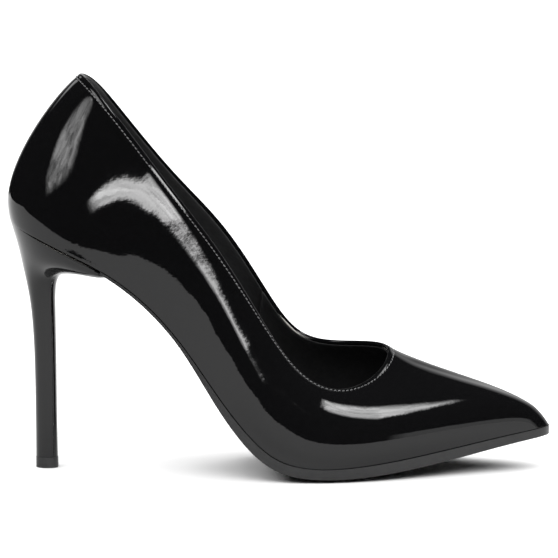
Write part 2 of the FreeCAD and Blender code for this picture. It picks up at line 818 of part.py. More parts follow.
def make_heel_pad():
    """Foam pad under the sock at the heel seat."""
    return plate(sock_inset + HEEL_PAD_INSET, HEEL_PAD_START, HEEL_PAD_END, sock_low,
                 lambda x: max(sock_low + PAD_EDGE, sock_base(x) - glue))


def make_sock_lining():
    """Sock lining that covers the insole from the heel to the toe."""
    return plate(sock_inset, 0.0, shoe_length, sock_base,
                 lambda x: sock_base(x) + size("sock_thickness"))


# --------------------------------------------------------------------------------------------
# Heel
# --------------------------------------------------------------------------------------------
# Sections from the seat down to the stem: share of the way from the stem's size to the seat's
# at the back, the front and the sides, and height at the back and front as shares of the seat's.
HEEL_SECTIONS = [
    (0.856, 0.910, 0.938, 0.9530, 0.778),
    (0.670, 0.595, 0.750, 0.8915, 0.786),
    (0.526, 0.257, 0.464, 0.8310, 0.790),
    (0.392, 0.054, 0.240, 0.7720, 0.771),
    (0.278, -0.013, 0.120, 0.7185, 0.713),
    (0.144, -0.020, 0.052, 0.6300, 0.630),
    (0.041, -0.013, 0.021, 0.4690, 0.469),
    (0.005, -0.009, 0.008, 0.2440, 0.244),
]
HEEL_POINTS = 24
WIDEST_SHARE = 0.61
SEAT_EXPONENTS = (1.9, 3.6)
STEM_EXPONENTS = (2.2, 3.4)
SEAT_BACK = 2.1

stem_back = size("stem_setback")
stem_front = stem_back + size("stem_length")
seat_height = size("seat_height")


def heel_rows(inset):
    """Sections of the heel from the seat to the top lift, drawn in by an inset."""
    seat_back_base, seat_normal = profile_frame(SEAT_BACK)
    seat_front_base = profile_frame(heel_seat_length)[0]
    back_z = (seat_back_base - seat_normal * glue).z
    front_z = (seat_front_base - seat_normal * glue).z
    table = [(1.0, 1.0, 1.0, back_z, front_z)]
    table += [(b, f, w, zb * seat_height, zf * seat_height) for b, f, w, zb, zf in HEEL_SECTIONS]
    low = size("lift_height") + glue
    table.append((0.0, 0.0, 0.0, low, low))
    rows = []
    for back_share, front_share, width_share, z_back, z_front in table:
        back = stem_back + (SEAT_BACK - stem_back) * back_share
        front = stem_front + (heel_seat_length - stem_front) * front_share
        half = size("stem_width") / 2
        half += (size("seat_width") / 2 - 0.3 - half) * width_share
        slope = (z_front - z_back) / (front - back)
        blend = max(0.0, min(1.0, width_share))
        widest = 0.5 + (WIDEST_SHARE - 0.5) * blend
        exponents = [
            stem + (seat - stem) * blend for seat, stem in zip(SEAT_EXPONENTS, STEM_EXPONENTS)]
        centre = back + (front - back) * widest
        row = []
        for k in range(HEEL_POINTS):
            angle = 2 * math.pi * k / HEEL_POINTS
            rearward = math.cos(angle)
            reach = centre - back - inset if rearward > 0 else front - centre - inset
            exponent = 2 / (exponents[0] if rearward > 0 else exponents[1])
            x = centre - math.copysign(abs(rearward) ** exponent, rearward) * reach
            sideways = math.sin(angle)
            y = -math.copysign(abs(sideways) ** exponent, sideways) * (half - inset)
            row.append(Vector(x, y, z_back + slope * (x - back)))
        rows.append(row)
    return rows


def make_heel_form(inset):
    """Solid form of the heel, drawn in by an inset on its sides."""
    rows = heel_rows(inset)
    surface = ring_surface(rows)
    half = HEEL_POINTS // 2
    end = len(rows) - 1
    faces = [surface.toShape(start, start + half, 0, end) for start in (0, half)]
    for along in (0, end):
        edges = [surface.vIso(along).toShape(start, start + half) for start in (0, half)]
        faces.append(Part.Face(Part.Wire(edges)))
    return solid_from(faces)


def make_breast_cutter(depth):
    """Solid ahead of the heel's breast, reaching a depth into it."""
    rows = heel_rows(0.0)
    fronts = [row[HEEL_POINTS // 2] for row in rows]
    line = [Vector(p.x, 0, p.z) for p in fronts]
    curve = open_curve(line)
    inset_points = []
    for k in range(41):
        parameter = curve.FirstParameter + (curve.LastParameter - curve.FirstParameter) * k / 40
        tangent = curve.tangent(parameter)[0]
        inset_points.append(curve.value(parameter) + Vector(tangent.z, 0, -tangent.x) * depth)
    first = inset_points[0] + (inset_points[0] - inset_points[1]).normalize() * 8
    last = inset_points[-1] + Vector(0, 0, -8)
    spline = open_curve([first] + inset_points + [last])
    far = shoe_length
    wire = Part.Wire([
        spline.toShape(),
        Part.makeLine(last, Vector(far, 0, last.z)),
        Part.makeLine(Vector(far, 0, last.z), Vector(far, 0, first.z)),
        Part.makeLine(Vector(far, 0, first.z), first),
    ])
    face = Part.Face(wire)
    face.translate(Vector(0, -HALF_SPAN, 0))
    return face.extrude(Vector(0, 2 * HALF_SPAN, 0))


rivet_holes = make_rivet_holes()
nail_holes = [driven(x, y, tuck_high, headed_hole("nail", size("fit_gap"))) for x, y in nail_places()]
screw_hole = driven(SEAT_CENTRE, 0, tuck_high, headed_hole("screw", size("fit_gap")))

stem_axis = Vector(stem_back + 0.46 * size("stem_length"), 0, 0)
flap = size("flap_thickness")
cover = size("cover_thickness")


def make_tube_shape(diameter, low, high):
    """Upright cylinder on the axis of the heel's stem."""
    return Part.makeCylinder(diameter / 2, high - low, stem_axis + Vector(0, 0, low))


tube_low = size("lift_height") + 2 * glue
tube_high = tube_low + size("tube_length")


def make_heel_block():
    """Moulded core of the heel, bored for the tube and pierced by the nails and the screw."""
    block = make_heel_form(cover + glue).cut(make_breast_cutter(flap + glue))
    tube_hole = make_tube_shape(size("tube_diameter") + 2 * size("fit_gap"), 0, tube_high + glue)
    return cut_all(block, [tube_hole, screw_hole] + nail_holes)


def make_heel_cover():
    """Patent leather wrapped round the back and sides of the heel."""
    shell = make_heel_form(0.0).cut(make_heel_form(cover))
    return shell.cut(make_breast_cutter(flap + glue))


def make_breast_flap():
    """Leather flap down the front of the heel."""
    return make_heel_form(0.0).common(make_breast_cutter(flap))


dowel_low = 0.35 * size("lift_height")
dowel_diameter = size("tube_bore") - 2 * size("fit_gap")


def make_top_lift():
    """Wear piece under the heel, bored for its pin."""
    outline = [Vector(p.x, p.y, 0) for p in heel_rows(0.0)[-1]]
    face = Part.Face(Part.Wire([closed_curve(outline).toShape()]))
    lift = face.extrude(Vector(0, 0, size("lift_height")))
    return lift.cut(make_tube_shape(dowel_diameter, dowel_low, 2 * size("lift_height")))


# --------------------------------------------------------------------------------------------
# Turned and drawn steel: bodies with sketches bound to the sheet
# --------------------------------------------------------------------------------------------
def origin_plane(body, role):
    """Origin plane of a body, found by its role."""
    return [plane for plane in body.Origin.OriginFeatures if plane.Role == role][0]


def new_sketch(body, role):
    """Sketch attached to one origin plane of its body."""
    sketch = body.newObject("Sketcher::SketchObject", body.Name + "_sketch")
    sketch.AttachmentSupport = [(origin_plane(body, role), "")]
    sketch.MapMode = "FlatFace"
    return sketch


def place_vertex(sketch, edge, axis, expression):
    """Bind one coordinate of an edge's first point to an expression on the sheet."""
    value = float(sheet.evalExpression(expression.replace("sizes.", "")))
    kind = "DistanceX" if axis == 0 else "DistanceY"
    if expression == "0":
        sketch.addConstraint(Sketcher.Constraint("PointOnObject", edge, 1, -2 if axis == 0 else -1))
        return
    index = sketch.addConstraint(Sketcher.Constraint(kind, -1, 1, edge, 1, value))
    sketch.setExpression("Constraints[%d]" % index, expression)


def revolved_body(label, outline):
    """Body turned about its own Z axis from an outline of pairs of expressions, radius and height."""
    body = doc.addObject("PartDesign::Body", label)
    body.Label = label
    sketch = new_sketch(body, "XZ_Plane")
    corners = []
    for radius, height in outline:
        values = [float(sheet.evalExpression(e.replace("sizes.", ""))) for e in (radius, height)]
        corners.append(Vector(values[0], values[1], 0))
    count = len(corners)
    for i in range(count):
        sketch.addGeometry(Part.LineSegment(corners[i], corners[(i + 1) % count]), False)
    for i in range(count):
        sketch.addConstraint(Sketcher.Constraint("Coincident", i, 2, (i + 1) % count, 1))
    for i, (radius, height) in enumerate(outline):
        place_vertex(sketch, i, 0, radius)
        place_vertex(sketch, i, 1, height)
    turned = body.newObject("PartDesign::Revolution", label + "_turned")
    turned.Profile = sketch
    turned.ReferenceAxis = (sketch, ["V_Axis"])
    turned.Angle = 360
    doc.recompute()
    return body


def pin_outline(name):
    """Outline of a nail or screw from its head down, for revolved_body."""
    diameter = "sizes.%s_diameter" % name
    return [
        ("0", "0"),
        ("sizes.%s_head / 2" % name, "0"),
        (diameter + " / 2", "sizes.%s_head_height" % name),
        (diameter + " / 2", "sizes.%s_length - %s" % (name, diameter)),
        ("sizes.tip_radius", "sizes.%s_length" % name),
        ("0", "sizes.%s_length" % name),
    ]


HEAD_DOWN = Placement(Vector(0, 0, 0), Rotation(Vector(1, 0, 0), 180))


def make_tube():
    """Steel tube up the stem of the heel."""
    body = doc.addObject("PartDesign::Body", "heel_tube")
    body.Label = "heel_tube"
    sketch = new_sketch(body, "XY_Plane")
    for alias in ("tube_diameter", "tube_bore"):
        circle = sketch.addGeometry(
            Part.Circle(Vector(0, 0, 0), Vector(0, 0, 1), size(alias) / 2), False)
        sketch.addConstraint(Sketcher.Constraint("Coincident", circle, 3, -1, 1))
        radius = sketch.addConstraint(Sketcher.Constraint("Radius", circle, size(alias) / 2))
        sketch.setExpression("Constraints[%d]" % radius, "sizes.%s / 2" % alias)
    pad = body.newObject("PartDesign::Pad", "tube_pad")
    pad.Profile = sketch
    pad.setExpression("Length", "sizes.tube_length")
    doc.recompute()
    body.Placement = Placement(stem_axis + Vector(0, 0, tube_low), Rotation())
    pieces.append(body)


def make_dowel():
    """Pin moulded into the top lift and driven into the tube, with a chamfered end."""
    radius = "(sizes.tube_bore / 2 - sizes.fit_gap)"
    height = "(sizes.lift_height * 0.65 + sizes.dowel_length)"
    body = revolved_body("top_lift_dowel", [
        ("0", "0"),
        (radius, "0"),
        (radius, height + " - sizes.dowel_chamfer"),
        (radius + " - sizes.dowel_chamfer", height),
        ("0", height),
    ])
    body.Placement = Placement(stem_axis + Vector(0, 0, dowel_low), Rotation())
    pieces.append(body)


def make_screw_body():
    """Countersunk heel screw."""
    body = revolved_body("heel_screw", pin_outline("screw"))
    base, normal = profile_frame(SEAT_CENTRE)
    turn = Rotation(Vector(0, 0, 1), normal)
    body.Placement = Placement(base + normal * tuck_high, turn).multiply(HEAD_DOWN)
    pieces.append(body)


def make_nail_group():
    """Heel nails, alike, as one group of separate solids."""
    nail = revolved_body("nail_pattern", pin_outline("nail"))
    shape = nail.Shape.copy()
    shape.Placement = HEAD_DOWN
    nails = []
    for x, y in nail_places():
        base, normal = profile_frame(x)
        placed = shape.copy()
        turn = Rotation(Vector(0, 0, 1), normal)
        top = Vector(base.x, y, base.z) + normal * tuck_high
        placed.Placement = Placement(top, turn).multiply(HEAD_DOWN)
        nails.append(placed)
    add_feature("heel_nails", Part.makeCompound(nails))


def make_rivet_group():
    """Rivets of the steel shank, alike, as one compound of cylinders."""
    rivets = []
    for number, share in enumerate(RIVET_SHARES, start=1):
        rivet = doc.addObject("Part::Cylinder", "rivet_%d" % number)
        rivet.setExpression("Radius", "sizes.rivet_diameter / 2")
        rivet.Height = rivet_length
        base, normal = profile_frame(share * shoe_length)
        low = base + normal * rivet_low
        rivet.Placement = Placement(low, Rotation(Vector(0, 0, 1), normal))
        rivets.append(rivet)
    group = doc.addObject("Part::Compound", "shank_rivets")
    group.Label = "shank_rivets"
    group.Links = rivets
    doc.recompute()
    pieces.append(group)


def build():
    """Every sub-part of the shoe."""
    add_feature("upper", make_upper())
    add_feature("toe_puff", make_toe_puff())
    add_feature("heel_counter", make_counter())
    add_feature("interlining_outer", make_interlining(-1))
    add_feature("interlining_inner", make_interlining(1))
    add_feature("topline_tape", make_tape())
    add_feature("vamp_lining", make_vamp_lining())
    add_feature("quarter_lining_outer", make_quarter_lining(-1))
    add_feature("quarter_lining_inner", make_quarter_lining(1))
    add_feature("heel_grip", make_heel_grip())
    add_feature("topline_stitching", make_stitching())
    add_feature("insole_board", make_insole_board())
    add_feature("shank_board", make_shank_board())
    add_feature("steel_shank", make_steel_shank())
    make_rivet_group()
    add_feature("bottom_filler", make_bottom_filler())
    add_feature("ball_pad", make_ball_pad())
    add_feature("heel_pad", make_heel_pad())
    add_feature("sock_lining", make_sock_lining())
    add_feature("outsole", make_outsole())
    add_feature("heel_block", make_heel_block())
    add_feature("heel_cover", make_heel_cover())
    add_feature("heel_breast_flap", make_breast_flap())
    make_tube()
    make_screw_body()
    make_nail_group()
    add_feature("top_lift", make_top_lift())
    make_dowel()


def centre_on_footprint():
    """Slide every piece so that the origin is the centre of the shoe's box, on the floor."""
    boxes = [piece.Shape.optimalBoundingBox() for piece in pieces]
    low = Vector(min(b.XMin for b in boxes), min(b.YMin for b in boxes), min(b.ZMin for b in boxes))
    high = Vector(max(b.XMax for b in boxes), max(b.YMax for b in boxes), low.z)
    shift = (low + high) * -0.5
    for piece in pieces:
        moved = piece.Placement.copy()
        moved.Base = moved.Base + shift
        piece.Placement = moved
    doc.recompute()
    return shift


def check_document():
    """Raise if any object failed or any sub-part has no valid solid."""
    for item in doc.Objects:
        if "Invalid" in item.State or "Error" in item.State:
            raise RuntimeError("%s did not recompute: %s" % (item.Label, item.State))
    for piece in pieces:
        if piece.Shape.isNull() or not piece.Shape.isValid() or not piece.Shape.Solids:
            raise RuntimeError("%s has no valid solid" % piece.Label)


build()
slide = centre_on_footprint()
check_document()
os.makedirs("parts", exist_ok=True)
for piece in pieces:
    piece.Shape.exportStep("parts/%s.step" % piece.Label)
lift_centre = stem_back + size("stem_length") / 2
print("slide %.3f %.3f %.3f" % (slide.x, slide.y, slide.z))
print("top lift face centre %.3f %.3f %.3f" % (lift_centre + slide.x, slide.y, slide.z))
for piece in pieces:
    box = piece.Shape.optimalBoundingBox()
    print("%-22s %d solid(s) %9.1f mm3, z %.2f to %.2f" % (
        piece.Label, len(piece.Shape.Solids), piece.Shape.Volume, box.ZMin, box.ZMax))
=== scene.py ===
"""A high heel pump in black patent leather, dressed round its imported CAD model."""

import logging
import math
from dataclasses import dataclass
from enum import Enum
from typing import Callable

import bmesh
import bpy
import numpy as np
from mathutils import Matrix, Vector
from mathutils.bvhtree import BVHTree


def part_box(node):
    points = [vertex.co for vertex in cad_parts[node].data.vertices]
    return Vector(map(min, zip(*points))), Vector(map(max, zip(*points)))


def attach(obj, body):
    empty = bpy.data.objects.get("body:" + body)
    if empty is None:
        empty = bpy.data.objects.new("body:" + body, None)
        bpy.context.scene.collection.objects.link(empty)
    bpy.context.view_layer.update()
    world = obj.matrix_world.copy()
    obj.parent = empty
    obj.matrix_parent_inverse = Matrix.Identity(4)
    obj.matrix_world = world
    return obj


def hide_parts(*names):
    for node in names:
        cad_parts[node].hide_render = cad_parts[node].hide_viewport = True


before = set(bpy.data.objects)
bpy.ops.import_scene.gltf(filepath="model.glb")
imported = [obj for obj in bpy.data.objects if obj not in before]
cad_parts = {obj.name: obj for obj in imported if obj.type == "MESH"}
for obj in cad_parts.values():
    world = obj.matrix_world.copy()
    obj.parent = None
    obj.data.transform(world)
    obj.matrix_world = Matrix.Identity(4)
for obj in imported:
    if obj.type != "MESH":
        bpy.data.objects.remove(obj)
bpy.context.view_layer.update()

log = logging.getLogger("pump")
BODY = "root"
HEEL_NODES = ("heel_cover", "heel_breast_flap", "top_lift")
TURN = 2 * math.pi
LIMIT_SELF = 16
LIMIT_SIDE = 4
LIMIT_ALL = 36


# ---------------------------------------------------------------- node helpers


class Nodes:
    """A small helper that adds and joins shader nodes in one tree."""

    def __init__(self, tree: bpy.types.NodeTree) -> None:
        """Keeps the tree to build in.

        Args:
            tree: The node tree of a material, world or group.
        """
        self.tree = tree

    def add(self, kind: str, **values: object) -> bpy.types.Node:
        """Adds one node.

        Args:
            kind: The node's type name.
            **values: Node properties, or input values by socket name with spaces as underscores.

        Returns:
            The new node.
        """
        node = self.tree.nodes.new(kind)
        for name, value in values.items():
            socket = node.inputs.get(name.replace("_", " "))
            if socket is not None:
                socket.default_value = value
            else:
                setattr(node, name, value)
        return node

    def join(self, source: bpy.types.NodeSocket, target: bpy.types.NodeSocket) -> None:
        """Joins an output to an input."""
        self.tree.links.new(source, target)

    def math(self, operation: str, first: object, second: object = None) -> bpy.types.NodeSocket:
        """Adds a Math node on sockets or numbers.

        Args:
            operation: The Math operation.
            first: A socket or a number.
            second: A socket or a number, or None for one-input operations.

        Returns:
            The output socket.
        """
        node = self.add("ShaderNodeMath", operation=operation)
        for place, value in enumerate((first, second)):
            if isinstance(value, bpy.types.NodeSocket):
                self.join(value, node.inputs[place])
            elif value is not None:
                node.inputs[place].default_value = value
        return node.outputs[0]

    def ramp(self, factor: bpy.types.NodeSocket, low: float, high: float,
             start: tuple, end: tuple) -> bpy.types.NodeSocket:
        """Adds a two-colour ramp.

        Args:
            factor: The socket that drives the ramp.
            low: Where the start colour ends.
            high: Where the end colour begins.
            start: RGB of the low end.
            end: RGB of the high end.

        Returns:
            The colour output.
        """
        node = self.add("ShaderNodeValToRGB")
        node.color_ramp.elements[0].position = low
        node.color_ramp.elements[1].position = high
        node.color_ramp.elements[0].color = (*start, 1)
        node.color_ramp.elements[1].color = (*end, 1)
        self.join(factor, node.inputs["Fac"])
        return node.outputs["Color"]


class Effect(Enum):
    """Shared surface effects, each one node group."""

    ORANGE_PEEL = "orange_peel"
    GRAIN = "fine_grain"
    WEAVE = "cloth_weave"
    DUST = "faint_dust"


def group_tree(name: str, inputs: dict, outputs: dict) -> bpy.types.NodeTree:
    """Makes an empty node group with named float or colour sockets.

    Args:
        name: The group's name.
        inputs: Default value by input name.
        outputs: Socket type by output name.

    Returns:
        The group tree with its Group Input and Group Output nodes.
    """
    tree = bpy.data.node_groups.new(name, "ShaderNodeTree")
    for label, value in inputs.items():
        socket = tree.interface.new_socket(label, in_out="INPUT", socket_type="NodeSocketFloat")
        socket.default_value = value
    for label, kind in outputs.items():
        tree.interface.new_socket(label, in_out="OUTPUT", socket_type=kind)
    tree.nodes.new("NodeGroupInput").name = "in"
    tree.nodes.new("NodeGroupOutput").name = "out"
    return tree


class Effects:
    """Builds the shared node groups once and places them in materials."""

    def __init__(self) -> None:
        """Builds every group."""
        self.trees = {
            Effect.ORANGE_PEEL: self.orange_peel(),
            Effect.GRAIN: self.grain(),
            Effect.WEAVE: self.weave(),
            Effect.DUST: self.dust(),
        }

    def orange_peel(self) -> bpy.types.NodeTree:
        """Returns the slow and fine waves of a lacquered skin, as a height."""
        tree = group_tree("orange_peel", {"Slow Scale": 90.0, "Fine Scale": 900.0, "Fine Share": 0.3},
                          {"Height": "NodeSocketFloat"})
        n = Nodes(tree)
        inside, out = tree.nodes["in"], tree.nodes["out"]
        place = n.add("ShaderNodeTexCoord")
        slow = n.add("ShaderNodeTexNoise", Detail=1.0, Roughness=0.4)
        fine = n.add("ShaderNodeTexNoise", Detail=2.0, Roughness=0.5)
        for noise, scale in ((slow, "Slow Scale"), (fine, "Fine Scale")):
            n.join(place.outputs["Object"], noise.inputs["Vector"])
            n.join(inside.outputs[scale], noise.inputs["Scale"])
        part = n.math("MULTIPLY", fine.outputs["Fac"], inside.outputs["Fine Share"])
        n.join(n.math("ADD", slow.outputs["Fac"], part), out.inputs["Height"])
        return tree

    def grain(self) -> bpy.types.NodeTree:
        """Returns the pebbled grain of lining leather, as a height and a mask of its creases."""
        tree = group_tree("fine_grain", {"Scale": 1400.0}, {
            "Height": "NodeSocketFloat", "Creases": "NodeSocketFloat"})
        n = Nodes(tree)
        inside, out = tree.nodes["in"], tree.nodes["out"]
        place = n.add("ShaderNodeTexCoord")
        cells = n.add("ShaderNodeTexVoronoi", feature="SMOOTH_F1", Smoothness=0.6)
        blotches = n.add("ShaderNodeTexNoise", Scale=260.0, Detail=3.0)
        n.join(place.outputs["Object"], cells.inputs["Vector"])
        n.join(place.outputs["Object"], blotches.inputs["Vector"])
        n.join(inside.outputs["Scale"], cells.inputs["Scale"])
        height = n.math("SUBTRACT", 1.0, cells.outputs["Distance"])
        n.join(n.math("MULTIPLY", height, n.math("ADD", blotches.outputs["Fac"], 0.4)), out.inputs["Height"])
        n.join(cells.outputs["Distance"], out.inputs["Creases"])
        return tree

    def weave(self) -> bpy.types.NodeTree:
        """Returns a plain weave of two sets of threads, as a height."""
        tree = group_tree("cloth_weave", {"Thread Scale": 1500.0}, {"Height": "NodeSocketFloat"})
        n = Nodes(tree)
        inside, out = tree.nodes["in"], tree.nodes["out"]
        place = n.add("ShaderNodeTexCoord")
        heights = []
        for direction in ("X", "Y"):
            wave = n.add("ShaderNodeTexWave", wave_type="BANDS", bands_direction=direction, Distortion=1.2)
            n.join(place.outputs["Object"], wave.inputs["Vector"])
            n.join(inside.outputs["Thread Scale"], wave.inputs["Scale"])
            heights.append(wave.outputs["Fac"])
        n.join(n.math("MAXIMUM", *heights), out.inputs["Height"])
        return tree

    def dust(self) -> bpy.types.NodeTree:
        """Returns a mask of faint handling marks and specks."""
        tree = group_tree("faint_dust", {"Scale": 320.0, "Amount": 0.5}, {"Mask": "NodeSocketFloat"})
        n = Nodes(tree)
        inside, out = tree.nodes["in"], tree.nodes["out"]
        place = n.add("ShaderNodeTexCoord")
        specks = n.add("ShaderNodeTexNoise", Detail=5.0, Roughness=0.7)
        n.join(place.outputs["Object"], specks.inputs["Vector"])
        n.join(inside.outputs["Scale"], specks.inputs["Scale"])
        sharp = n.add("ShaderNodeMapRange", From_Min=0.52, From_Max=0.75)
        n.join(specks.outputs["Fac"], sharp.inputs["Value"])
        n.join(n.math("MULTIPLY", sharp.outputs["Result"], inside.outputs["Amount"]), out.inputs["Mask"])
        return tree

    def place(self, nodes: Nodes, effect: Effect, **values: float) -> bpy.types.Node:
        """Places a group in a material.

        Args:
            nodes: The material's node helper.
            effect: Which group.
            **values: Input values by name, spaces as underscores.

        Returns:
            The group node.
        """
        node = nodes.add("ShaderNodeGroup", node_tree=self.trees[effect])
        for name, value in values.items():
            node.inputs[name.replace("_", " ")].default_value = value
        return node


# ------------------------------------------------------------------- finishes


@dataclass(frozen=True)
class Finish:
    """A finish with two close colours, a roughness range and a surface relief."""

    name: str
    colour: tuple
    second_colour: tuple
    roughness: float
    roughness_range: float
    effect: Effect
    relief: float
    scale: float = 300.0
    metallic: float = 0.0
    specular: float = 0.5
    coat: float = 0.0
    sheen: float = 0.0

    def make(self, effects: Effects) -> bpy.types.Material:
        """Makes the material.

        Args:
            effects: The shared node groups.

        Returns:
            The material.
        """
        material = bpy.data.materials.new(self.name)
        material.use_nodes = True
        n = Nodes(material.node_tree)
        shader = material.node_tree.nodes["Principled BSDF"]
        shader.inputs["Metallic"].default_value = self.metallic
        shader.inputs["Specular IOR Level"].default_value = self.specular
        shader.inputs["Coat Weight"].default_value = self.coat
        shader.inputs["Coat Roughness"].default_value = 0.1
        shader.inputs["Sheen Weight"].default_value = self.sheen
        shader.inputs["Sheen Roughness"].default_value = 0.5
        place = n.add("ShaderNodeTexCoord")
        patches = n.add("ShaderNodeTexNoise", Scale=self.scale, Detail=4.0, Roughness=0.6)
        n.join(place.outputs["Object"], patches.inputs["Vector"])
        tone = n.ramp(patches.outputs["Fac"], 0.35, 0.7, self.colour, self.second_colour)
        n.join(tone, shader.inputs["Base Color"])
        dust = effects.place(n, Effect.DUST)
        spread = n.math("MULTIPLY", dust.outputs["Mask"], self.roughness_range)
        n.join(n.math("ADD", spread, self.roughness), shader.inputs["Roughness"])
        relief = effects.place(n, self.effect)
        bump = n.add("ShaderNodeBump", Distance=self.relief, Strength=1.0)
        n.join(relief.outputs["Height"], bump.inputs["Height"])
        n.join(bump.outputs["Normal"], shader.inputs["Normal"])
        return material


@dataclass(frozen=True)
class PatentFinish:
    """Black patent leather: a near black skin under a clear glossy lacquer."""

    name: str = "patent_leather"
    colour: tuple = (0.0035, 0.0035, 0.0038)
    lacquer_index: float = 1.38
    lacquer_roughness: float = 0.035
    peel: float = 0.00016
    slow_scale: float = 70.0
    fine_scale: float = 700.0

    def make(self, effects: Effects) -> bpy.types.Material:
        """Makes the material.

        Args:
            effects: The shared node groups.

        Returns:
            The material.
        """
        material = bpy.data.materials.new(self.name)
        material.use_nodes = True
        n = Nodes(material.node_tree)
        shader = material.node_tree.nodes["Principled BSDF"]
        shader.inputs["IOR"].default_value = self.lacquer_index
        dust = effects.place(n, Effect.DUST, Scale=450.0, Amount=0.5)
        tone = n.ramp(dust.outputs["Mask"], 0.0, 1.0, self.colour, (0.006, 0.006, 0.0062))
        n.join(tone, shader.inputs["Base Color"])
        haze = n.math("MULTIPLY", dust.outputs["Mask"], 0.05)
        n.join(n.math("ADD", haze, self.lacquer_roughness), shader.inputs["Roughness"])
        peel = effects.place(n, Effect.ORANGE_PEEL, Slow_Scale=self.slow_scale,
                             Fine_Scale=self.fine_scale, Fine_Share=0.06)
        bump = n.add("ShaderNodeBump", Distance=self.peel, Strength=1.0)
        n.join(peel.outputs["Height"], bump.inputs["Height"])
        n.join(bump.outputs["Normal"], shader.inputs["Normal"])
        return material


FINISHES = {
    "lining_leather": Finish("lining_leather", (0.017, 0.017, 0.018), (0.024, 0.024, 0.025), 0.55, 0.2,
                             Effect.GRAIN, 0.00005, specular=0.3),
    "suede": Finish("suede", (0.006, 0.006, 0.0065), (0.013, 0.0125, 0.012), 0.95, 0.05,
                    Effect.GRAIN, 0.00012, scale=700.0, specular=0.15, sheen=0.25),
    "stiffener": Finish("stiffener", (0.45, 0.40, 0.31), (0.36, 0.31, 0.24), 0.85, 0.1,
                        Effect.GRAIN, 0.00008, specular=0.3),
    "backing_cloth": Finish("backing_cloth", (0.55, 0.54, 0.50), (0.44, 0.43, 0.40), 0.9, 0.1,
                            Effect.WEAVE, 0.0001, specular=0.2),
    "thread": Finish("thread", (0.10, 0.10, 0.102), (0.16, 0.16, 0.162), 0.35, 0.2,
                     Effect.GRAIN, 0.00003, scale=2600.0, specular=0.5),
    "insole_fibre": Finish("insole_fibre", (0.33, 0.22, 0.13), (0.24, 0.155, 0.09), 0.9, 0.08,
                           Effect.GRAIN, 0.0001, specular=0.2),
    "spring_steel": Finish("spring_steel", (0.30, 0.31, 0.33), (0.20, 0.22, 0.26), 0.34, 0.3,
                           Effect.ORANGE_PEEL, 0.00002, metallic=1.0),
    "bright_steel": Finish("bright_steel", (0.56, 0.56, 0.56), (0.45, 0.45, 0.46), 0.22, 0.3,
                           Effect.ORANGE_PEEL, 0.00001, metallic=1.0),
    "cork": Finish("cork", (0.42, 0.26, 0.13), (0.20, 0.115, 0.055), 0.93, 0.06,
                   Effect.GRAIN, 0.00025, scale=900.0, specular=0.2),
    "foam": Finish("foam", (0.62, 0.58, 0.46), (0.53, 0.49, 0.38), 0.95, 0.05,
                   Effect.GRAIN, 0.0002, scale=1500.0, specular=0.15),
    "outsole_black": Finish("outsole_black", (0.007, 0.007, 0.0075), (0.012, 0.012, 0.0125), 0.36, 0.25,
                            Effect.GRAIN, 0.00003, specular=0.45),
    "heel_plastic": Finish("heel_plastic", (0.62, 0.60, 0.55), (0.56, 0.54, 0.49), 0.45, 0.2,
                           Effect.ORANGE_PEEL, 0.00003),
    "lift_black": Finish("lift_black", (0.010, 0.010, 0.0105), (0.018, 0.018, 0.0185), 0.5, 0.2,
                         Effect.GRAIN, 0.00003, specular=0.4),
}


class Wardrobe:
    """Every finish of the pump, made once."""

    def __init__(self) -> None:
        """Makes the shared effects and all materials."""
        effects = Effects()
        self.materials = {name: finish.make(effects) for name, finish in FINISHES.items()}
        self.materials["patent_upper"] = PatentFinish().make(effects)

    def dress(self, piece: bpy.types.Object, finish: str) -> None:
        """Gives a piece one finish.

        Args:
            piece: The object to dress.
            finish: Name of the finish.
        """
        piece.data.materials.clear()
        piece.data.materials.append(self.materials[finish])

    def dress_nodes(self) -> None:
        """Gives every CAD node the finish that its record slot names."""
        for name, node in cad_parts.items():
            for place, held in enumerate(node.data.materials):
                key = held.name.split(".")[0] if held else ""
                if key in self.materials:
                    node.data.materials[place] = self.materials[key]
            log.info("dressed %s", name)


# ----------------------------------------------------------------------- wall


def smooth_shade(piece: bpy.types.Object) -> None:
    """Shades every face of a piece smooth."""
    piece.data.polygons.foreach_set("use_smooth", [True] * len(piece.data.polygons))


def new_piece(name: str, points: np.ndarray, faces: list) -> bpy.types.Object:
    """Makes a mesh object in the scene.

    Args:
        name: The piece's name.
        points: Vertex positions, one per row.
        faces: Vertex indices of each face.

    Returns:
        The new object.
    """
    mesh = bpy.data.meshes.new(name)
    mesh.from_pydata([tuple(point) for point in points], [], faces)
    mesh.validate()
    piece = bpy.data.objects.new(name, mesh)
    bpy.context.scene.collection.objects.link(piece)
    smooth_shade(piece)
    return piece


def subdivide(piece: bpy.types.Object, levels: int) -> None:
    """Applies a subdivision surface to a piece.

    Args:
        piece: The object.
        levels: How many times it is divided.
    """
    bpy.ops.object.select_all(action="DESELECT")
    bpy.context.view_layer.objects.active = piece
    piece.select_set(True)
    modifier = piece.modifiers.new("smooth", "SUBSURF")
    modifier.levels = levels
    modifier.render_levels = levels
    bpy.ops.object.modifier_apply(modifier=modifier.name)
    piece.select_set(False)
    smooth_shade(piece)


def net_faces(rows: int, columns: int, wrap_rows: bool, wrap_columns: bool) -> list:
    """Quads of a net whose point (r, c) is number r * columns + c, facing rows x columns.

    Args:
        rows: Number of rows.
        columns: Number of columns.
        wrap_rows: Whether the last row joins the first.
        wrap_columns: Whether the last column joins the first.

    Returns:
        The faces.
    """
    faces = []
    for r in range(rows if wrap_rows else rows - 1):
        for c in range(columns if wrap_columns else columns - 1):
            r2, c2 = (r + 1) % rows, (c + 1) % columns
            faces.append((r * columns + c, r * columns + c2, r2 * columns + c2, r2 * columns + c))
    return faces


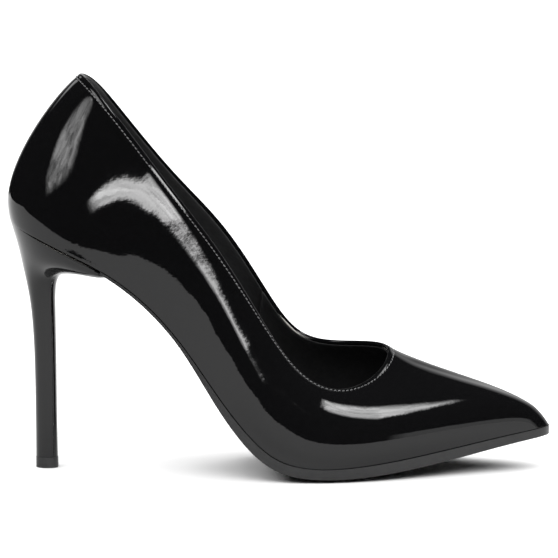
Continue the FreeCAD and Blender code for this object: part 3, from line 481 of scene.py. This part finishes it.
def through_points(net: np.ndarray, rounds: int = 6) -> np.ndarray:
    """Moves the points of a net closed both ways until its smooth limit passes through them.

    Args:
        net: Rows x columns x 3.
        rounds: How many corrections.

    Returns:
        The control net.
    """
    control = net.copy()
    for _ in range(rounds):
        up, down = np.roll(control, 1, 0), np.roll(control, -1, 0)
        sides = np.roll(control, 1, 1) + np.roll(control, -1, 1)
        corners = sum(np.roll(row, step, 1) for row in (up, down) for step in (1, -1))
        limit = (LIMIT_SELF * control + LIMIT_SIDE * (up + down + sides) + corners) / LIMIT_ALL
        control = control + (net - limit)
    return control


class Wall:
    """The outer face of the upper as an even net of points, read from the CAD upper."""

    COLUMNS = 112
    SAMPLES = 41
    CREASE = math.radians(30)
    MERGE = 2e-5
    FRONT_DRAW = 0.75
    FRONT_POWER = 1.7
    SETTLE_ROUNDS = 4
    SMOOTH_ROUNDS = 12
    BLEND_ROUNDS = 3
    BLEND_SELF = 0.6
    BLEND_SIDE = 0.1

    def __init__(self) -> None:
        """Finds the outer face and lays the net on it."""
        self.points = self.relaxed(self.first_net())
        self.normals = self.outward()
        steps = np.linalg.norm(np.diff(self.points, axis=0), axis=2)
        self.along = np.vstack([np.zeros(self.COLUMNS), np.cumsum(steps, axis=0)])

    def first_net(self) -> np.ndarray:
        """Returns samples x columns points between the feather edge and the topline."""
        mesh = bmesh.new()
        mesh.from_mesh(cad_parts["upper"].data)
        bmesh.ops.remove_doubles(mesh, verts=mesh.verts, dist=self.MERGE)
        mesh.normal_update()
        mesh.faces.ensure_lookup_table()
        face = self.largest_patch(mesh)
        self.skin = BVHTree.FromPolygons(
            [v.co.copy() for v in mesh.verts], [[v.index for v in mesh.faces[i].verts] for i in face])
        loops = self.border_loops(mesh, face)
        mesh.free()
        loops.sort(key=lambda loop: loop[:, 2].mean())
        shares = self.shares()
        foot = self.round_points(loops[0], shares)
        drawn = 1 - (1 - shares) ** self.FRONT_POWER
        front = self.FRONT_DRAW * drawn + (1 - self.FRONT_DRAW) * shares
        top = self.round_points(loops[-1], front)
        rise = np.linspace(0, 1, self.SAMPLES)[:, None, None]
        return foot[None] * (1 - rise) + top[None] * rise

    def largest_patch(self, mesh: bmesh.types.BMesh) -> set:
        """Returns the indices of the faces in the largest patch between creases.

        Args:
            mesh: The merged mesh of the upper.
        """
        best, best_area, seen = set(), 0.0, set()
        for start in mesh.faces:
            if start.index in seen:
                continue
            patch, queue, area = set(), [start], 0.0
            seen.add(start.index)
            while queue:
                face = queue.pop()
                patch.add(face.index)
                area += face.calc_area()
                for edge in face.edges:
                    if len(edge.link_faces) != 2:
                        continue
                    other = edge.link_faces[0] if edge.link_faces[1] is face else edge.link_faces[1]
                    if other.index not in seen and edge.calc_face_angle(0) < self.CREASE:
                        seen.add(other.index)
                        queue.append(other)
            if area > best_area:
                best, best_area = patch, area
        return best

    def border_loops(self, mesh: bmesh.types.BMesh, patch: set) -> list:
        """Returns the closed border loops of a patch, longest two, as arrays of points.

        Args:
            mesh: The merged mesh.
            patch: Indices of its faces.
        """
        following = {}
        for index in patch:
            for loop in mesh.faces[index].loops:
                others = [f for f in loop.edge.link_faces if f.index in patch]
                if len(others) == 1:
                    following[loop.vert] = loop.link_loop_next.vert
        loops = []
        while following:
            start, point = next(iter(following.items()))
            line = [start.co.copy()]
            del following[start]
            while point is not start and point in following:
                line.append(point.co.copy())
                point = following.pop(point)
            loops.append(np.array(line))
        loops.sort(key=lambda line: -np.linalg.norm(np.diff(line, axis=0), axis=1).sum())
        return loops[:2]

    def shares(self) -> np.ndarray:
        """Returns the share of the way from back to toe of the columns on one side."""
        even = np.linspace(0, 1, self.COLUMNS // 2 + 1)
        return even - 0.45 * np.sin(TURN * even) / TURN

    def round_points(self, line: np.ndarray, shares: np.ndarray) -> np.ndarray:
        """Lays the columns on a closed loop, outer side first, from the back to the toe and back.

        Args:
            line: Points of the loop.
            shares: Share of the way along each side.
        """
        back = int(np.argmin(line[:, 0]))
        line = np.roll(line, -back, 0)
        toe = int(np.argmax(line[:, 0]))
        one, other = line[:toe + 1], np.vstack([line[toe:], line[:1]])[::-1]
        outer, inner = (one, other) if one[:, 1].mean() < 0 else (other, one)
        sides = []
        for side in (outer, inner):
            way = np.concatenate([[0], np.cumsum(np.linalg.norm(np.diff(side, axis=0), axis=1))])
            places = shares * way[-1]
            sides.append(np.stack([np.interp(places, way, side[:, k]) for k in range(3)], 1))
        ring = np.vstack([sides[0], sides[1][-2:0:-1]])
        for step in (0.5, -0.53) * 3:
            ring = ring + step * ((np.roll(ring, 1, 0) + np.roll(ring, -1, 0)) / 2 - ring)
        return ring

    def on_skin(self, points: np.ndarray) -> np.ndarray:
        """Returns the nearest points of the CAD skin."""
        flat = points.reshape(-1, 3)
        found = [self.skin.find_nearest(Vector(point))[0] for point in flat]
        return np.array(found).reshape(points.shape)

    def evened(self, points: np.ndarray) -> np.ndarray:
        """Spaces each column's points evenly along it."""
        steps = np.linalg.norm(np.diff(points, axis=0), axis=2)
        way = np.vstack([np.zeros(points.shape[1]), np.cumsum(steps, axis=0)])
        result = points.copy()
        for c in range(points.shape[1]):
            places = np.linspace(0, way[-1, c], points.shape[0])
            for k in range(3):
                result[:, c, k] = np.interp(places, way[:, c], points[:, c, k])
        return result

    def relaxed(self, points: np.ndarray) -> np.ndarray:
        """Draws the net onto the skin and evens it out."""
        for _ in range(self.SETTLE_ROUNDS):
            points[1:-1] = self.on_skin(points[1:-1])
            points = self.evened(points)
        for _ in range(self.SMOOTH_ROUNDS):
            smooth = (np.roll(points, 1, 1) + np.roll(points, -1, 1))[1:-1] / 2
            points[1:-1] = 0.5 * points[1:-1] + 0.5 * smooth
            points[1:-1] = self.on_skin(points[1:-1])
            points = self.evened(points)
        for _ in range(self.BLEND_ROUNDS):
            sides = np.roll(points, 1, 1) + np.roll(points, -1, 1)
            ups = points[:-2] + points[2:]
            points[1:-1] = self.BLEND_SELF * points[1:-1] + self.BLEND_SIDE * (sides[1:-1] + ups)
        return points

    def outward(self) -> np.ndarray:
        """Returns the outward direction at every point of the net."""
        along = np.roll(self.points, -1, 1) - np.roll(self.points, 1, 1)
        up = np.gradient(self.points, axis=0)
        normal = np.cross(along, up)
        normal /= np.linalg.norm(normal, axis=2, keepdims=True)
        return normal

    def row(self, place: Callable[[np.ndarray], np.ndarray], depth: float) -> np.ndarray:
        """Reads a row round the wall.

        Args:
            place: Gives each column's distance up from the feather edge, from its whole length.
            depth: Distance inside the skin.

        Returns:
            One point per column.
        """
        lengths = self.along[-1]
        wanted = place(lengths)
        points = np.empty((self.COLUMNS, 3))
        for c in range(self.COLUMNS):
            for k in range(3):
                point = np.interp(wanted[c], self.along[:, c], self.points[:, c, k])
                normal = np.interp(wanted[c], self.along[:, c], self.normals[:, c, k])
                points[c, k] = point - depth * normal
        return points

    def up_from_foot(self, distance: float, depth: float) -> np.ndarray:
        """Returns a row a distance above the feather edge."""
        return self.row(lambda lengths: np.full_like(lengths, distance), depth)

    def below_edge(self, distance: float, depth: float) -> np.ndarray:
        """Returns a row a distance below the topline."""
        return self.row(lambda lengths: lengths - distance, depth)

    def between(self, low: float, high: float, share: float, depth: float) -> np.ndarray:
        """Returns a row at a share of the way between two margins.

        Args:
            low: Distance above the feather edge where the share is 0.
            high: Distance below the topline where the share is 1.
            share: From 0 to 1.
            depth: Distance inside the skin.
        """
        return self.row(lambda lengths: low + (lengths - high - low) * share, depth)

    def edge_up(self) -> np.ndarray:
        """Returns the direction of the wall at the topline, up and away from it."""
        way = self.points[-1] - self.points[-3]
        return way / np.linalg.norm(way, axis=1, keepdims=True)

    def floor_in(self) -> np.ndarray:
        """Returns the level inward direction at the feather edge."""
        foot = self.points[0]
        along = np.roll(foot, -1, 0) - np.roll(foot, 1, 0)
        inward = np.stack([-along[:, 1], along[:, 0], np.zeros(len(foot))], 1)
        inward /= np.linalg.norm(inward, axis=1, keepdims=True)
        middle = foot.mean(0)
        if np.sum(inward * (middle - foot)) < 0:
            inward = -inward
        return inward


@dataclass
class Upper:
    """The whole-cut patent upper with its folded topline and turned-under margin."""

    wall: Wall
    skin: float = 0.001
    fold: float = 0.0018
    bead: float = 0.0017
    margin: float = 0.010
    foot_step: float = 0.0007
    foot_swell: float = 0.0001
    wall_foot: float = 0.003
    wall_head: float = 0.0032
    groove_below: float = 0.0021
    groove_depth: float = 0.00014
    shoulder_below: float = 0.0009
    crest: float = 0.00025
    lip: float = 0.0005
    bead_step: float = 0.0009
    bead_settle: float = 0.0001
    inner_head: float = 0.006
    inner_foot: float = 0.0013
    inner_bands: int = 6
    over_shares: tuple = (0.55, 1.0)
    under_shares: tuple = (1.0, 0.5)
    under_start: float = 0.0008
    toe_share: float = 0.45
    least_margin: float = 0.0006
    bands: int = 13
    levels: int = 2

    def build(self) -> bpy.types.Object:
        """Builds the upper.

        Returns:
            The finished object.
        """
        wall = self.wall
        rows = [wall.up_from_foot(0.0, 0.0), wall.up_from_foot(self.foot_step, -self.foot_swell)]
        for band in range(self.bands):
            rows.append(wall.between(self.wall_foot, self.wall_head, band / (self.bands - 1), 0.0))
        rows.append(wall.below_edge(self.groove_below, self.groove_depth))
        rows.append(wall.below_edge(self.shoulder_below, 0.0))
        up = wall.edge_up()
        rows.append(wall.below_edge(0.0, 0.25 * self.fold) + self.crest * up)
        rows.append(wall.below_edge(0.0, 0.75 * self.fold) + self.crest * up)
        rows.append(wall.below_edge(self.lip, self.fold))
        rows.append(wall.below_edge(self.bead, self.fold))
        rows.append(wall.below_edge(self.bead + self.bead_step, self.skin + self.bead_settle))
        for band in range(self.inner_bands):
            share = 1 - band / (self.inner_bands - 1)
            rows.append(wall.between(self.wall_foot, self.inner_head, share, self.skin))
        rows.append(wall.up_from_foot(self.inner_foot, self.skin))
        rows += self.margin_rows()
        net = np.array(rows)
        control = through_points(net)
        piece = new_piece("patent_upper_skin", control.reshape(-1, 3),
                          net_faces(len(rows), wall.COLUMNS, True, True))
        subdivide(piece, self.levels)
        return piece

    def margin_rows(self) -> list:
        """Returns the rows of the lasting margin, out along its top and back along its underside."""
        foot = self.wall.points[0]
        inward = self.wall.floor_in()
        under = self.reach(foot, inward)
        over = []
        for share in self.over_shares:
            line = self.on_bottom(foot + inward * under[:, None] * share)
            over.append(line + Vector((0, 0, self.skin)))
        low = [self.on_bottom(foot + inward * under[:, None] * share) for share in self.under_shares]
        low.append(self.on_bottom(foot + inward * np.minimum(under, self.under_start)[:, None]))
        return over + low

    def reach(self, foot: np.ndarray, inward: np.ndarray) -> np.ndarray:
        """Returns how far the margin goes in at each column, less where the toe is narrow.

        Args:
            foot: Points of the feather edge.
            inward: Level inward direction at each; not used.
        """
        half = np.abs(foot[:, 1])
        ends = np.minimum(foot[:, 0] - foot[:, 0].min(), foot[:, 0].max() - foot[:, 0])
        room = self.toe_share * np.hypot(half, ends) + self.least_margin
        return np.clip(np.minimum(room, self.margin), self.least_margin, self.margin)

    def on_bottom(self, points: np.ndarray) -> np.ndarray:
        """Gives points the height of the feather edge at their distance along the shoe.

        Args:
            points: Points near the bottom plane.
        """
        foot = self.wall.points[0]
        order = np.argsort(foot[:, 0])
        height = np.interp(points[:, 0], foot[order, 0], foot[order, 2])
        return np.column_stack([points[:, 0], points[:, 1], height])


@dataclass
class Lining:
    """The leather lining: one piece in the vamp and one in each quarter."""

    wall: Wall
    outer_depth: float = 0.00188
    thickness: float = 0.0007
    below_edge: float = 0.0007
    above_foot: float = 0.0030
    bands: int = 9
    butt: float = 0.03
    edge_round: float = 0.0001
    levels: int = 1

    def build(self) -> dict:
        """Builds the three pieces.

        Returns:
            Each piece by the CAD node that it stands for.
        """
        columns = self.wall.COLUMNS
        seam_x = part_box("vamp_lining")[0].x
        waist = self.wall.points[self.wall.SAMPLES // 2, :, 0]
        first = int(np.argmax(waist[: columns // 2] > seam_x))
        last = columns - first
        parts = {
            "vamp_lining": (first, last),
            "quarter_lining_outer": (0, first),
            "quarter_lining_inner": (last, columns),
        }
        return {name: self.sheet(name + "_leather", *span) for name, span in parts.items()}

    def sheet(self, name: str, start: int, end: int) -> bpy.types.Object:
        """Builds one closed sheet of lining between two columns.

        Args:
            name: The piece's name.
            start: Column of its first edge.
            end: Column of its last edge.

        Returns:
            The finished sheet.
        """
        inner = self.outer_depth + self.thickness
        rows = [self.place(band / (self.bands - 1), self.outer_depth) for band in range(self.bands)]
        rows.append(self.wall.below_edge(self.below_edge - self.edge_round, (self.outer_depth + inner) / 2))
        rows += [self.place(1 - band / (self.bands - 1), inner) for band in range(self.bands)]
        net = np.array(rows)
        gap = self.butt
        columns = [start + gap, start + 2 * gap, *range(start + 1, end), end - 2 * gap, end - gap]
        low = np.floor(columns).astype(int)
        share = (np.array(columns) - low)[None, :, None]
        around = net.shape[1]
        strip = net[:, low % around] * (1 - share) + net[:, (low + 1) % around] * share
        count = len(columns)
        faces = net_faces(len(rows), count, True, False)
        faces.append(tuple(r * count for r in range(len(rows))))
        faces.append(tuple(r * count + count - 1 for r in reversed(range(len(rows)))))
        piece = new_piece(name, strip.reshape(-1, 3), faces)
        subdivide(piece, self.levels)
        return piece

    def place(self, share: float, depth: float) -> np.ndarray:
        """Returns the lining's row at a share of its height."""
        return self.wall.between(self.above_foot, self.below_edge, share, depth)


@dataclass
class HeelGrip(Lining):
    """The suede patch inside the back of the heel."""

    outer_depth: float = 0.00266
    thickness: float = 0.0006
    below_edge: float = 0.005
    foot_share: float = 0.38

    def build(self) -> dict:
        """Builds the patch.

        Returns:
            The piece by the CAD node that it stands for.
        """
        front_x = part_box("heel_grip")[1].x
        waist = self.wall.points[self.wall.SAMPLES // 2, :, 0]
        reach = int(np.argmax(waist[: self.wall.COLUMNS // 2] > front_x))
        return {"heel_grip": self.sheet("heel_grip_suede", -reach, reach)}

    def place(self, share: float, depth: float) -> np.ndarray:
        """Returns the patch's row at a share of its height."""
        return super().place(self.foot_share + (1 - self.foot_share) * share, depth)


@dataclass
class Stitching:
    """The row of thread stitches round the topline."""

    wall: Wall
    inset: float = 0.0021
    pitch: float = 0.00178
    length: float = 0.00145
    width: float = 0.0005
    height: float = 0.00048
    sides: int = 8
    rings: int = 6
    turn: float = 7.0
    sunk: float = 0.00002
    normal_step: float = 0.001
    fullness: float = 0.45
    dip: float = 0.00012

    def build(self) -> bpy.types.Object:
        """Models one stitch and sets copies of it round the topline.

        Returns:
            The whole row as one piece.
        """
        first = self.one_stitch()
        line = self.closed_line(self.wall.below_edge(self.inset, self.sunk))
        normals = self.closed_line(self.wall.below_edge(self.inset, -self.normal_step)) - line
        steps = np.linalg.norm(np.diff(np.vstack([line, line[:1]]), axis=0), axis=1)
        way = np.concatenate([[0], np.cumsum(steps)])
        count = int(round(way[-1] / self.pitch))
        copies = []
        for k in range(count):
            spot = way[-1] * k / count
            ahead = self.along(line, way, spot + self.length / 4)
            middle = self.along(line, way, spot)
            out = Vector(self.along(normals, way, spot)).normalized()
            forward = (Vector(ahead) - Vector(middle)).normalized()
            side = out.cross(forward).normalized()
            axes = Matrix((forward, side, forward.cross(side))).transposed().to_4x4()
            lean = Matrix.Rotation(math.radians(self.turn), 4, "Z")
            copy = first.copy()
            copy.data = first.data.copy()
            copy.data.transform(Matrix.Translation(middle) @ axes @ lean)
            bpy.context.scene.collection.objects.link(copy)
            copies.append(copy)
        bpy.data.objects.remove(first)
        bpy.ops.object.select_all(action="DESELECT")
        for copy in copies:
            copy.select_set(True)
        bpy.context.view_layer.objects.active = copies[0]
        bpy.ops.object.join()
        row = bpy.context.object
        row.name = "topline_stitches"
        row.data.name = row.name
        row.select_set(False)
        smooth_shade(row)
        return row

    def one_stitch(self) -> bpy.types.Object:
        """Models a single stitch, lying along X with its ends dipping into the leather."""
        bpy.ops.object.select_all(action="DESELECT")
        bpy.ops.mesh.primitive_uv_sphere_add(segments=self.sides, ring_count=self.rings, radius=0.5)
        stitch = bpy.context.object
        bpy.ops.object.mode_set(mode="EDIT")
        bpy.ops.mesh.select_all(action="SELECT")
        bpy.ops.transform.resize(value=(self.length, self.width, self.height))
        bpy.ops.object.mode_set(mode="OBJECT")
        for vertex in stitch.data.vertices:
            share = 2 * vertex.co.x / self.length
            fuller = 1 + self.fullness * (1 - share ** 2) * share ** 2 * 2
            vertex.co.y *= fuller
            vertex.co.z = vertex.co.z * fuller - self.dip * share ** 4
        stitch.select_set(False)
        return stitch

    def closed_line(self, row: np.ndarray, fine: int = 8) -> np.ndarray:
        """Rounds a closed row of points with a smooth curve through them.

        Args:
            row: The points.
            fine: New points for each old one.

        Returns:
            The finer row.
        """
        before, after, beyond = np.roll(row, 1, 0), np.roll(row, -1, 0), np.roll(row, -2, 0)
        finer = []
        for k in range(fine):
            t = k / fine
            finer.append(0.5 * (2 * row + (after - before) * t
                                + (2 * before - 5 * row + 4 * after - beyond) * t ** 2
                                + (3 * row - before - 3 * after + beyond) * t ** 3))
        return np.stack(finer, 1).reshape(-1, 3)

    def along(self, line: np.ndarray, way: np.ndarray, spot: float) -> tuple:
        """Reads a closed line at a distance along it.

        Args:
            line: Its points.
            way: Distance of each point, and of the first again at the end.
            spot: The distance to read at.

        Returns:
            The point there.
        """
        closed = np.vstack([line, line[:1]])
        return tuple(np.interp(spot % way[-1], way, closed[:, k]) for k in range(3))


# --------------------------------------------------------------------- studio


@dataclass
class Softbox:
    """A lit cloth panel of the studio, seen only as a reflection."""

    name: str
    centre: tuple
    facing: tuple
    width: float
    height: float
    radiance: float
    roll: float = 0.0
    soft: float = 0.12
    streaks: float = 0.0
    fade: float = 0.0

    def build(self) -> bpy.types.Object:
        """Adds the panel, facing the pump.

        Returns:
            The panel.
        """
        bpy.ops.object.select_all(action="DESELECT")
        bpy.ops.mesh.primitive_plane_add(size=1.0)
        panel = bpy.context.object
        panel.name = self.name
        way = (Vector(self.centre) - Vector(self.facing)).normalized()
        turn = way.to_track_quat("Z", "Y").to_matrix().to_4x4()
        spin = Matrix.Rotation(math.radians(self.roll), 4, "Z")
        size = Matrix.Diagonal((self.width, self.height, 1.0, 1.0))
        panel.matrix_world = Matrix.Translation(self.centre) @ turn @ spin @ size
        panel.data.materials.append(self.cloth())
        panel.visible_camera = False
        panel.visible_diffuse = False
        panel.visible_shadow = False
        panel.visible_transmission = False
        panel.select_set(False)
        return panel

    def cloth(self) -> bpy.types.Material:
        """Returns the glowing cloth, softer at its edges and a little uneven."""
        material = bpy.data.materials.new(self.name)
        material.use_nodes = True
        material.node_tree.nodes.clear()
        n = Nodes(material.node_tree)
        place = n.add("ShaderNodeTexCoord")
        axes = n.add("ShaderNodeSeparateXYZ")
        n.join(place.outputs["Object"], axes.inputs[0])
        glow = None
        for axis in ("X", "Y"):
            side = n.math("ABSOLUTE", axes.outputs[axis])
            edge = n.add("ShaderNodeMapRange", interpolation_type="SMOOTHSTEP")
            edge.inputs["From Min"].default_value = 0.5
            edge.inputs["From Max"].default_value = 0.5 - self.soft
            n.join(side, edge.inputs["Value"])
            fall = edge.outputs["Result"]
            glow = fall if glow is None else n.math("MULTIPLY", glow, fall)
        slope = n.add("ShaderNodeMapRange")
        slope.inputs["From Min"].default_value = -0.5
        slope.inputs["From Max"].default_value = 0.5
        slope.inputs["To Min"].default_value = 1.0
        slope.inputs["To Max"].default_value = 1.0 - self.fade
        n.join(axes.outputs["Y"], slope.inputs["Value"])
        glow = n.math("MULTIPLY", glow, slope.outputs["Result"])
        wisps = n.add("ShaderNodeTexNoise", Scale=5.0, Detail=6.0, Roughness=0.65, Distortion=0.6)
        n.join(place.outputs["Object"], wisps.inputs["Vector"])
        thin = n.add("ShaderNodeMapRange")
        thin.inputs["From Min"].default_value = 0.38
        thin.inputs["From Max"].default_value = 0.62
        thin.inputs["To Min"].default_value = 1.0 - self.streaks
        thin.inputs["To Max"].default_value = 1.0
        n.join(wisps.outputs["Fac"], thin.inputs["Value"])
        glow = n.math("MULTIPLY", glow, thin.outputs["Result"])
        lamp = n.add("ShaderNodeEmission")
        n.join(n.math("MULTIPLY", glow, self.radiance), lamp.inputs["Strength"])
        out = n.add("ShaderNodeOutputMaterial")
        n.join(lamp.outputs[0], out.inputs["Surface"])
        return material


@dataclass
class Studio:
    """White floor, soft light and the camera."""

    target: tuple = (-0.00015, 0.0, 0.0776)
    camera_elevation: float = 8.0
    camera_distance: float = 1.4
    lens: float = 221.3
    sensor: float = 36.0
    floor_front: float = 0.30
    floor_back: float = 5.0
    floor_side: float = 4.0
    sky_strength: float = 6.5
    sky_spread: float = 120.0
    card_depth: float = 2.5
    card_radiance: float = 1.1
    card_drop: float = 0.001
    clip_near: float = 0.05
    clip_far: float = 50.0
    dark_strength: float = 0.006
    paper_dark: tuple = (0.84, 0.84, 0.84)
    paper_light: tuple = (0.86, 0.86, 0.86)

    def build(self) -> None:
        """Builds the whole studio."""
        self.build_camera()
        self.build_floor()
        self.build_world()
        self.build_lights()

    def build_camera(self) -> None:
        """Adds the camera at the view of the pump's outer side."""
        rise = math.radians(self.camera_elevation)
        back = Vector((0.0, -math.cos(rise), math.sin(rise)))
        lens = bpy.data.cameras.new("camera")
        lens.lens = self.lens
        lens.sensor_width = self.sensor
        lens.clip_start = self.clip_near
        lens.clip_end = self.clip_far
        camera = bpy.data.objects.new("camera", lens)
        bpy.context.scene.collection.objects.link(camera)
        camera.location = Vector(self.target) + back * self.camera_distance
        camera.rotation_mode = "QUATERNION"
        camera.rotation_quaternion = (-back).to_track_quat("-Z", "Y")
        bpy.context.scene.camera = camera

    def build_floor(self) -> None:
        """Lays the white table that the pump stands on."""
        bpy.ops.mesh.primitive_plane_add(size=1.0)
        floor = bpy.context.object
        floor.name = "studio_floor"
        depth = self.floor_front + self.floor_back
        floor.data.transform(Matrix.Diagonal((2 * self.floor_side, depth, 1.0, 1.0)))
        floor.data.transform(Matrix.Translation((0.0, (self.floor_back - self.floor_front) / 2, 0.0)))
        paper = bpy.data.materials.new("white_paper")
        paper.use_nodes = True
        n = Nodes(paper.node_tree)
        shader = paper.node_tree.nodes["Principled BSDF"]
        shader.inputs["Roughness"].default_value = 0.9
        shader.inputs["Specular IOR Level"].default_value = 0.0
        place = n.add("ShaderNodeTexCoord")
        fibres = n.add("ShaderNodeTexNoise", Scale=60.0, Detail=3.0)
        n.join(place.outputs["Object"], fibres.inputs["Vector"])
        n.join(n.ramp(fibres.outputs["Fac"], 0.3, 0.7, self.paper_dark, self.paper_light),
               shader.inputs["Base Color"])
        floor.data.materials.append(paper)

    def build_world(self) -> None:
        """Makes a backdrop that is white to the eye and dark in reflections."""
        world = bpy.data.worlds.new("studio")
        bpy.context.scene.world = world
        world.use_nodes = True
        world.node_tree.nodes.clear()
        n = Nodes(world.node_tree)
        path = n.add("ShaderNodeLightPath")
        bright = n.add("ShaderNodeBackground", Color=(1.0, 1.0, 1.0, 1.0), Strength=1.0)
        dark = n.add("ShaderNodeBackground", Color=(1.0, 1.0, 1.0, 1.0), Strength=self.dark_strength)
        pick = n.add("ShaderNodeMixShader")
        out = n.add("ShaderNodeOutputWorld")
        n.join(path.outputs["Is Camera Ray"], pick.inputs["Fac"])
        n.join(dark.outputs[0], pick.inputs[1])
        n.join(bright.outputs[0], pick.inputs[2])
        n.join(pick.outputs[0], out.inputs["Surface"])
        bpy.context.scene.view_settings.view_transform = "Standard"

    def build_lights(self) -> None:
        """Hangs the soft overhead light and the panels."""
        sky = bpy.data.lights.new("overhead", "SUN")
        sky.energy = self.sky_strength
        sky.angle = math.radians(self.sky_spread)
        sky_object = bpy.data.objects.new("overhead", sky)
        bpy.context.scene.collection.objects.link(sky_object)
        sky_object.visible_glossy = False
        for panel in PANELS:
            panel.build()
        self.build_heel_card()

    def build_heel_card(self) -> None:
        """Lays a lit sheet in front of the floor that only the heel reflects."""
        lamp = bpy.data.lights.new("heel_card", "AREA")
        lamp.shape = "RECTANGLE"
        lamp.size = 2 * self.floor_side
        lamp.size_y = self.card_depth
        lamp.energy = self.card_radiance * 4 * lamp.size * lamp.size_y
        card = bpy.data.objects.new("heel_card", lamp)
        bpy.context.scene.collection.objects.link(card)
        middle = -self.floor_front - self.card_depth / 2
        spot = Matrix.Translation((0.0, middle, -self.card_drop))
        card.matrix_world = spot @ Matrix.Rotation(math.pi, 4, "X")
        card.visible_diffuse = False
        card.visible_camera = False
        heel = bpy.data.collections.new("heel_pieces")
        for node in HEEL_NODES:
            heel.objects.link(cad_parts[node])
        card.light_linking.receiver_collection = heel


SEAT = (-0.085, -0.02, 0.13)
PANELS = (
    Softbox("counter_panel", (-0.62, -0.62, 0.55), SEAT, 0.50, 0.60, 9.0,
            roll=20.0, soft=0.2, streaks=0.75),
    Softbox("quarter_panel", (0.005, -0.475, 0.19), (0.005, 0.0, 0.19), 0.28, 0.065, 26.0, roll=36.0,
            soft=0.25, streaks=0.5),
    Softbox("vamp_panel", (0.50, -0.425, 1.10), (0.50, -0.425, 0.0), 0.30, 0.85, 24.0,
            soft=0.25, streaks=0.45, fade=0.3),
    Softbox("back_wall", (0.35, 1.30, 0.55), (0.0, 0.0, 0.55), 3.4, 1.20, 1.1, soft=0.3, fade=1.0),
    Softbox("toe_card", (0.42, -0.32, 0.04), (0.06, -0.02, 0.04), 0.34, 0.12, 1.4, soft=0.2),
    Softbox("far_side_panel", (-0.9, 1.0, 0.9), (0.0, 0.0, 0.1), 0.5, 0.5, 2.0, soft=0.3),
)


def finish_piece(wardrobe: Wardrobe, piece: bpy.types.Object, finish: str, *nodes: str) -> None:
    """Dresses a finished piece and ties it to the CAD model.

    Args:
        wardrobe: The pump's finishes.
        piece: The piece.
        finish: Name of its finish.
        *nodes: The CAD nodes that it stands for.
    """
    wardrobe.dress(piece, finish)
    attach(piece, BODY)
    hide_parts(*nodes)
    log.info("built %s, %d faces", piece.name, len(piece.data.polygons))


def main() -> None:
    """Builds the pump and its studio."""
    logging.basicConfig(level=logging.INFO, format="%(message)s")
    Studio().build()
    wardrobe = Wardrobe()
    wardrobe.dress_nodes()
    wall = Wall()
    finish_piece(wardrobe, Upper(wall).build(), "patent_upper", "upper")
    for node, sheet in Lining(wall).build().items():
        finish_piece(wardrobe, sheet, "lining_leather", node)
    for node, sheet in HeelGrip(wall).build().items():
        finish_piece(wardrobe, sheet, "suede", node)
    finish_piece(wardrobe, Stitching(wall).build(), "thread", "topline_stitching")


if __name__ == "__main__":
    main()
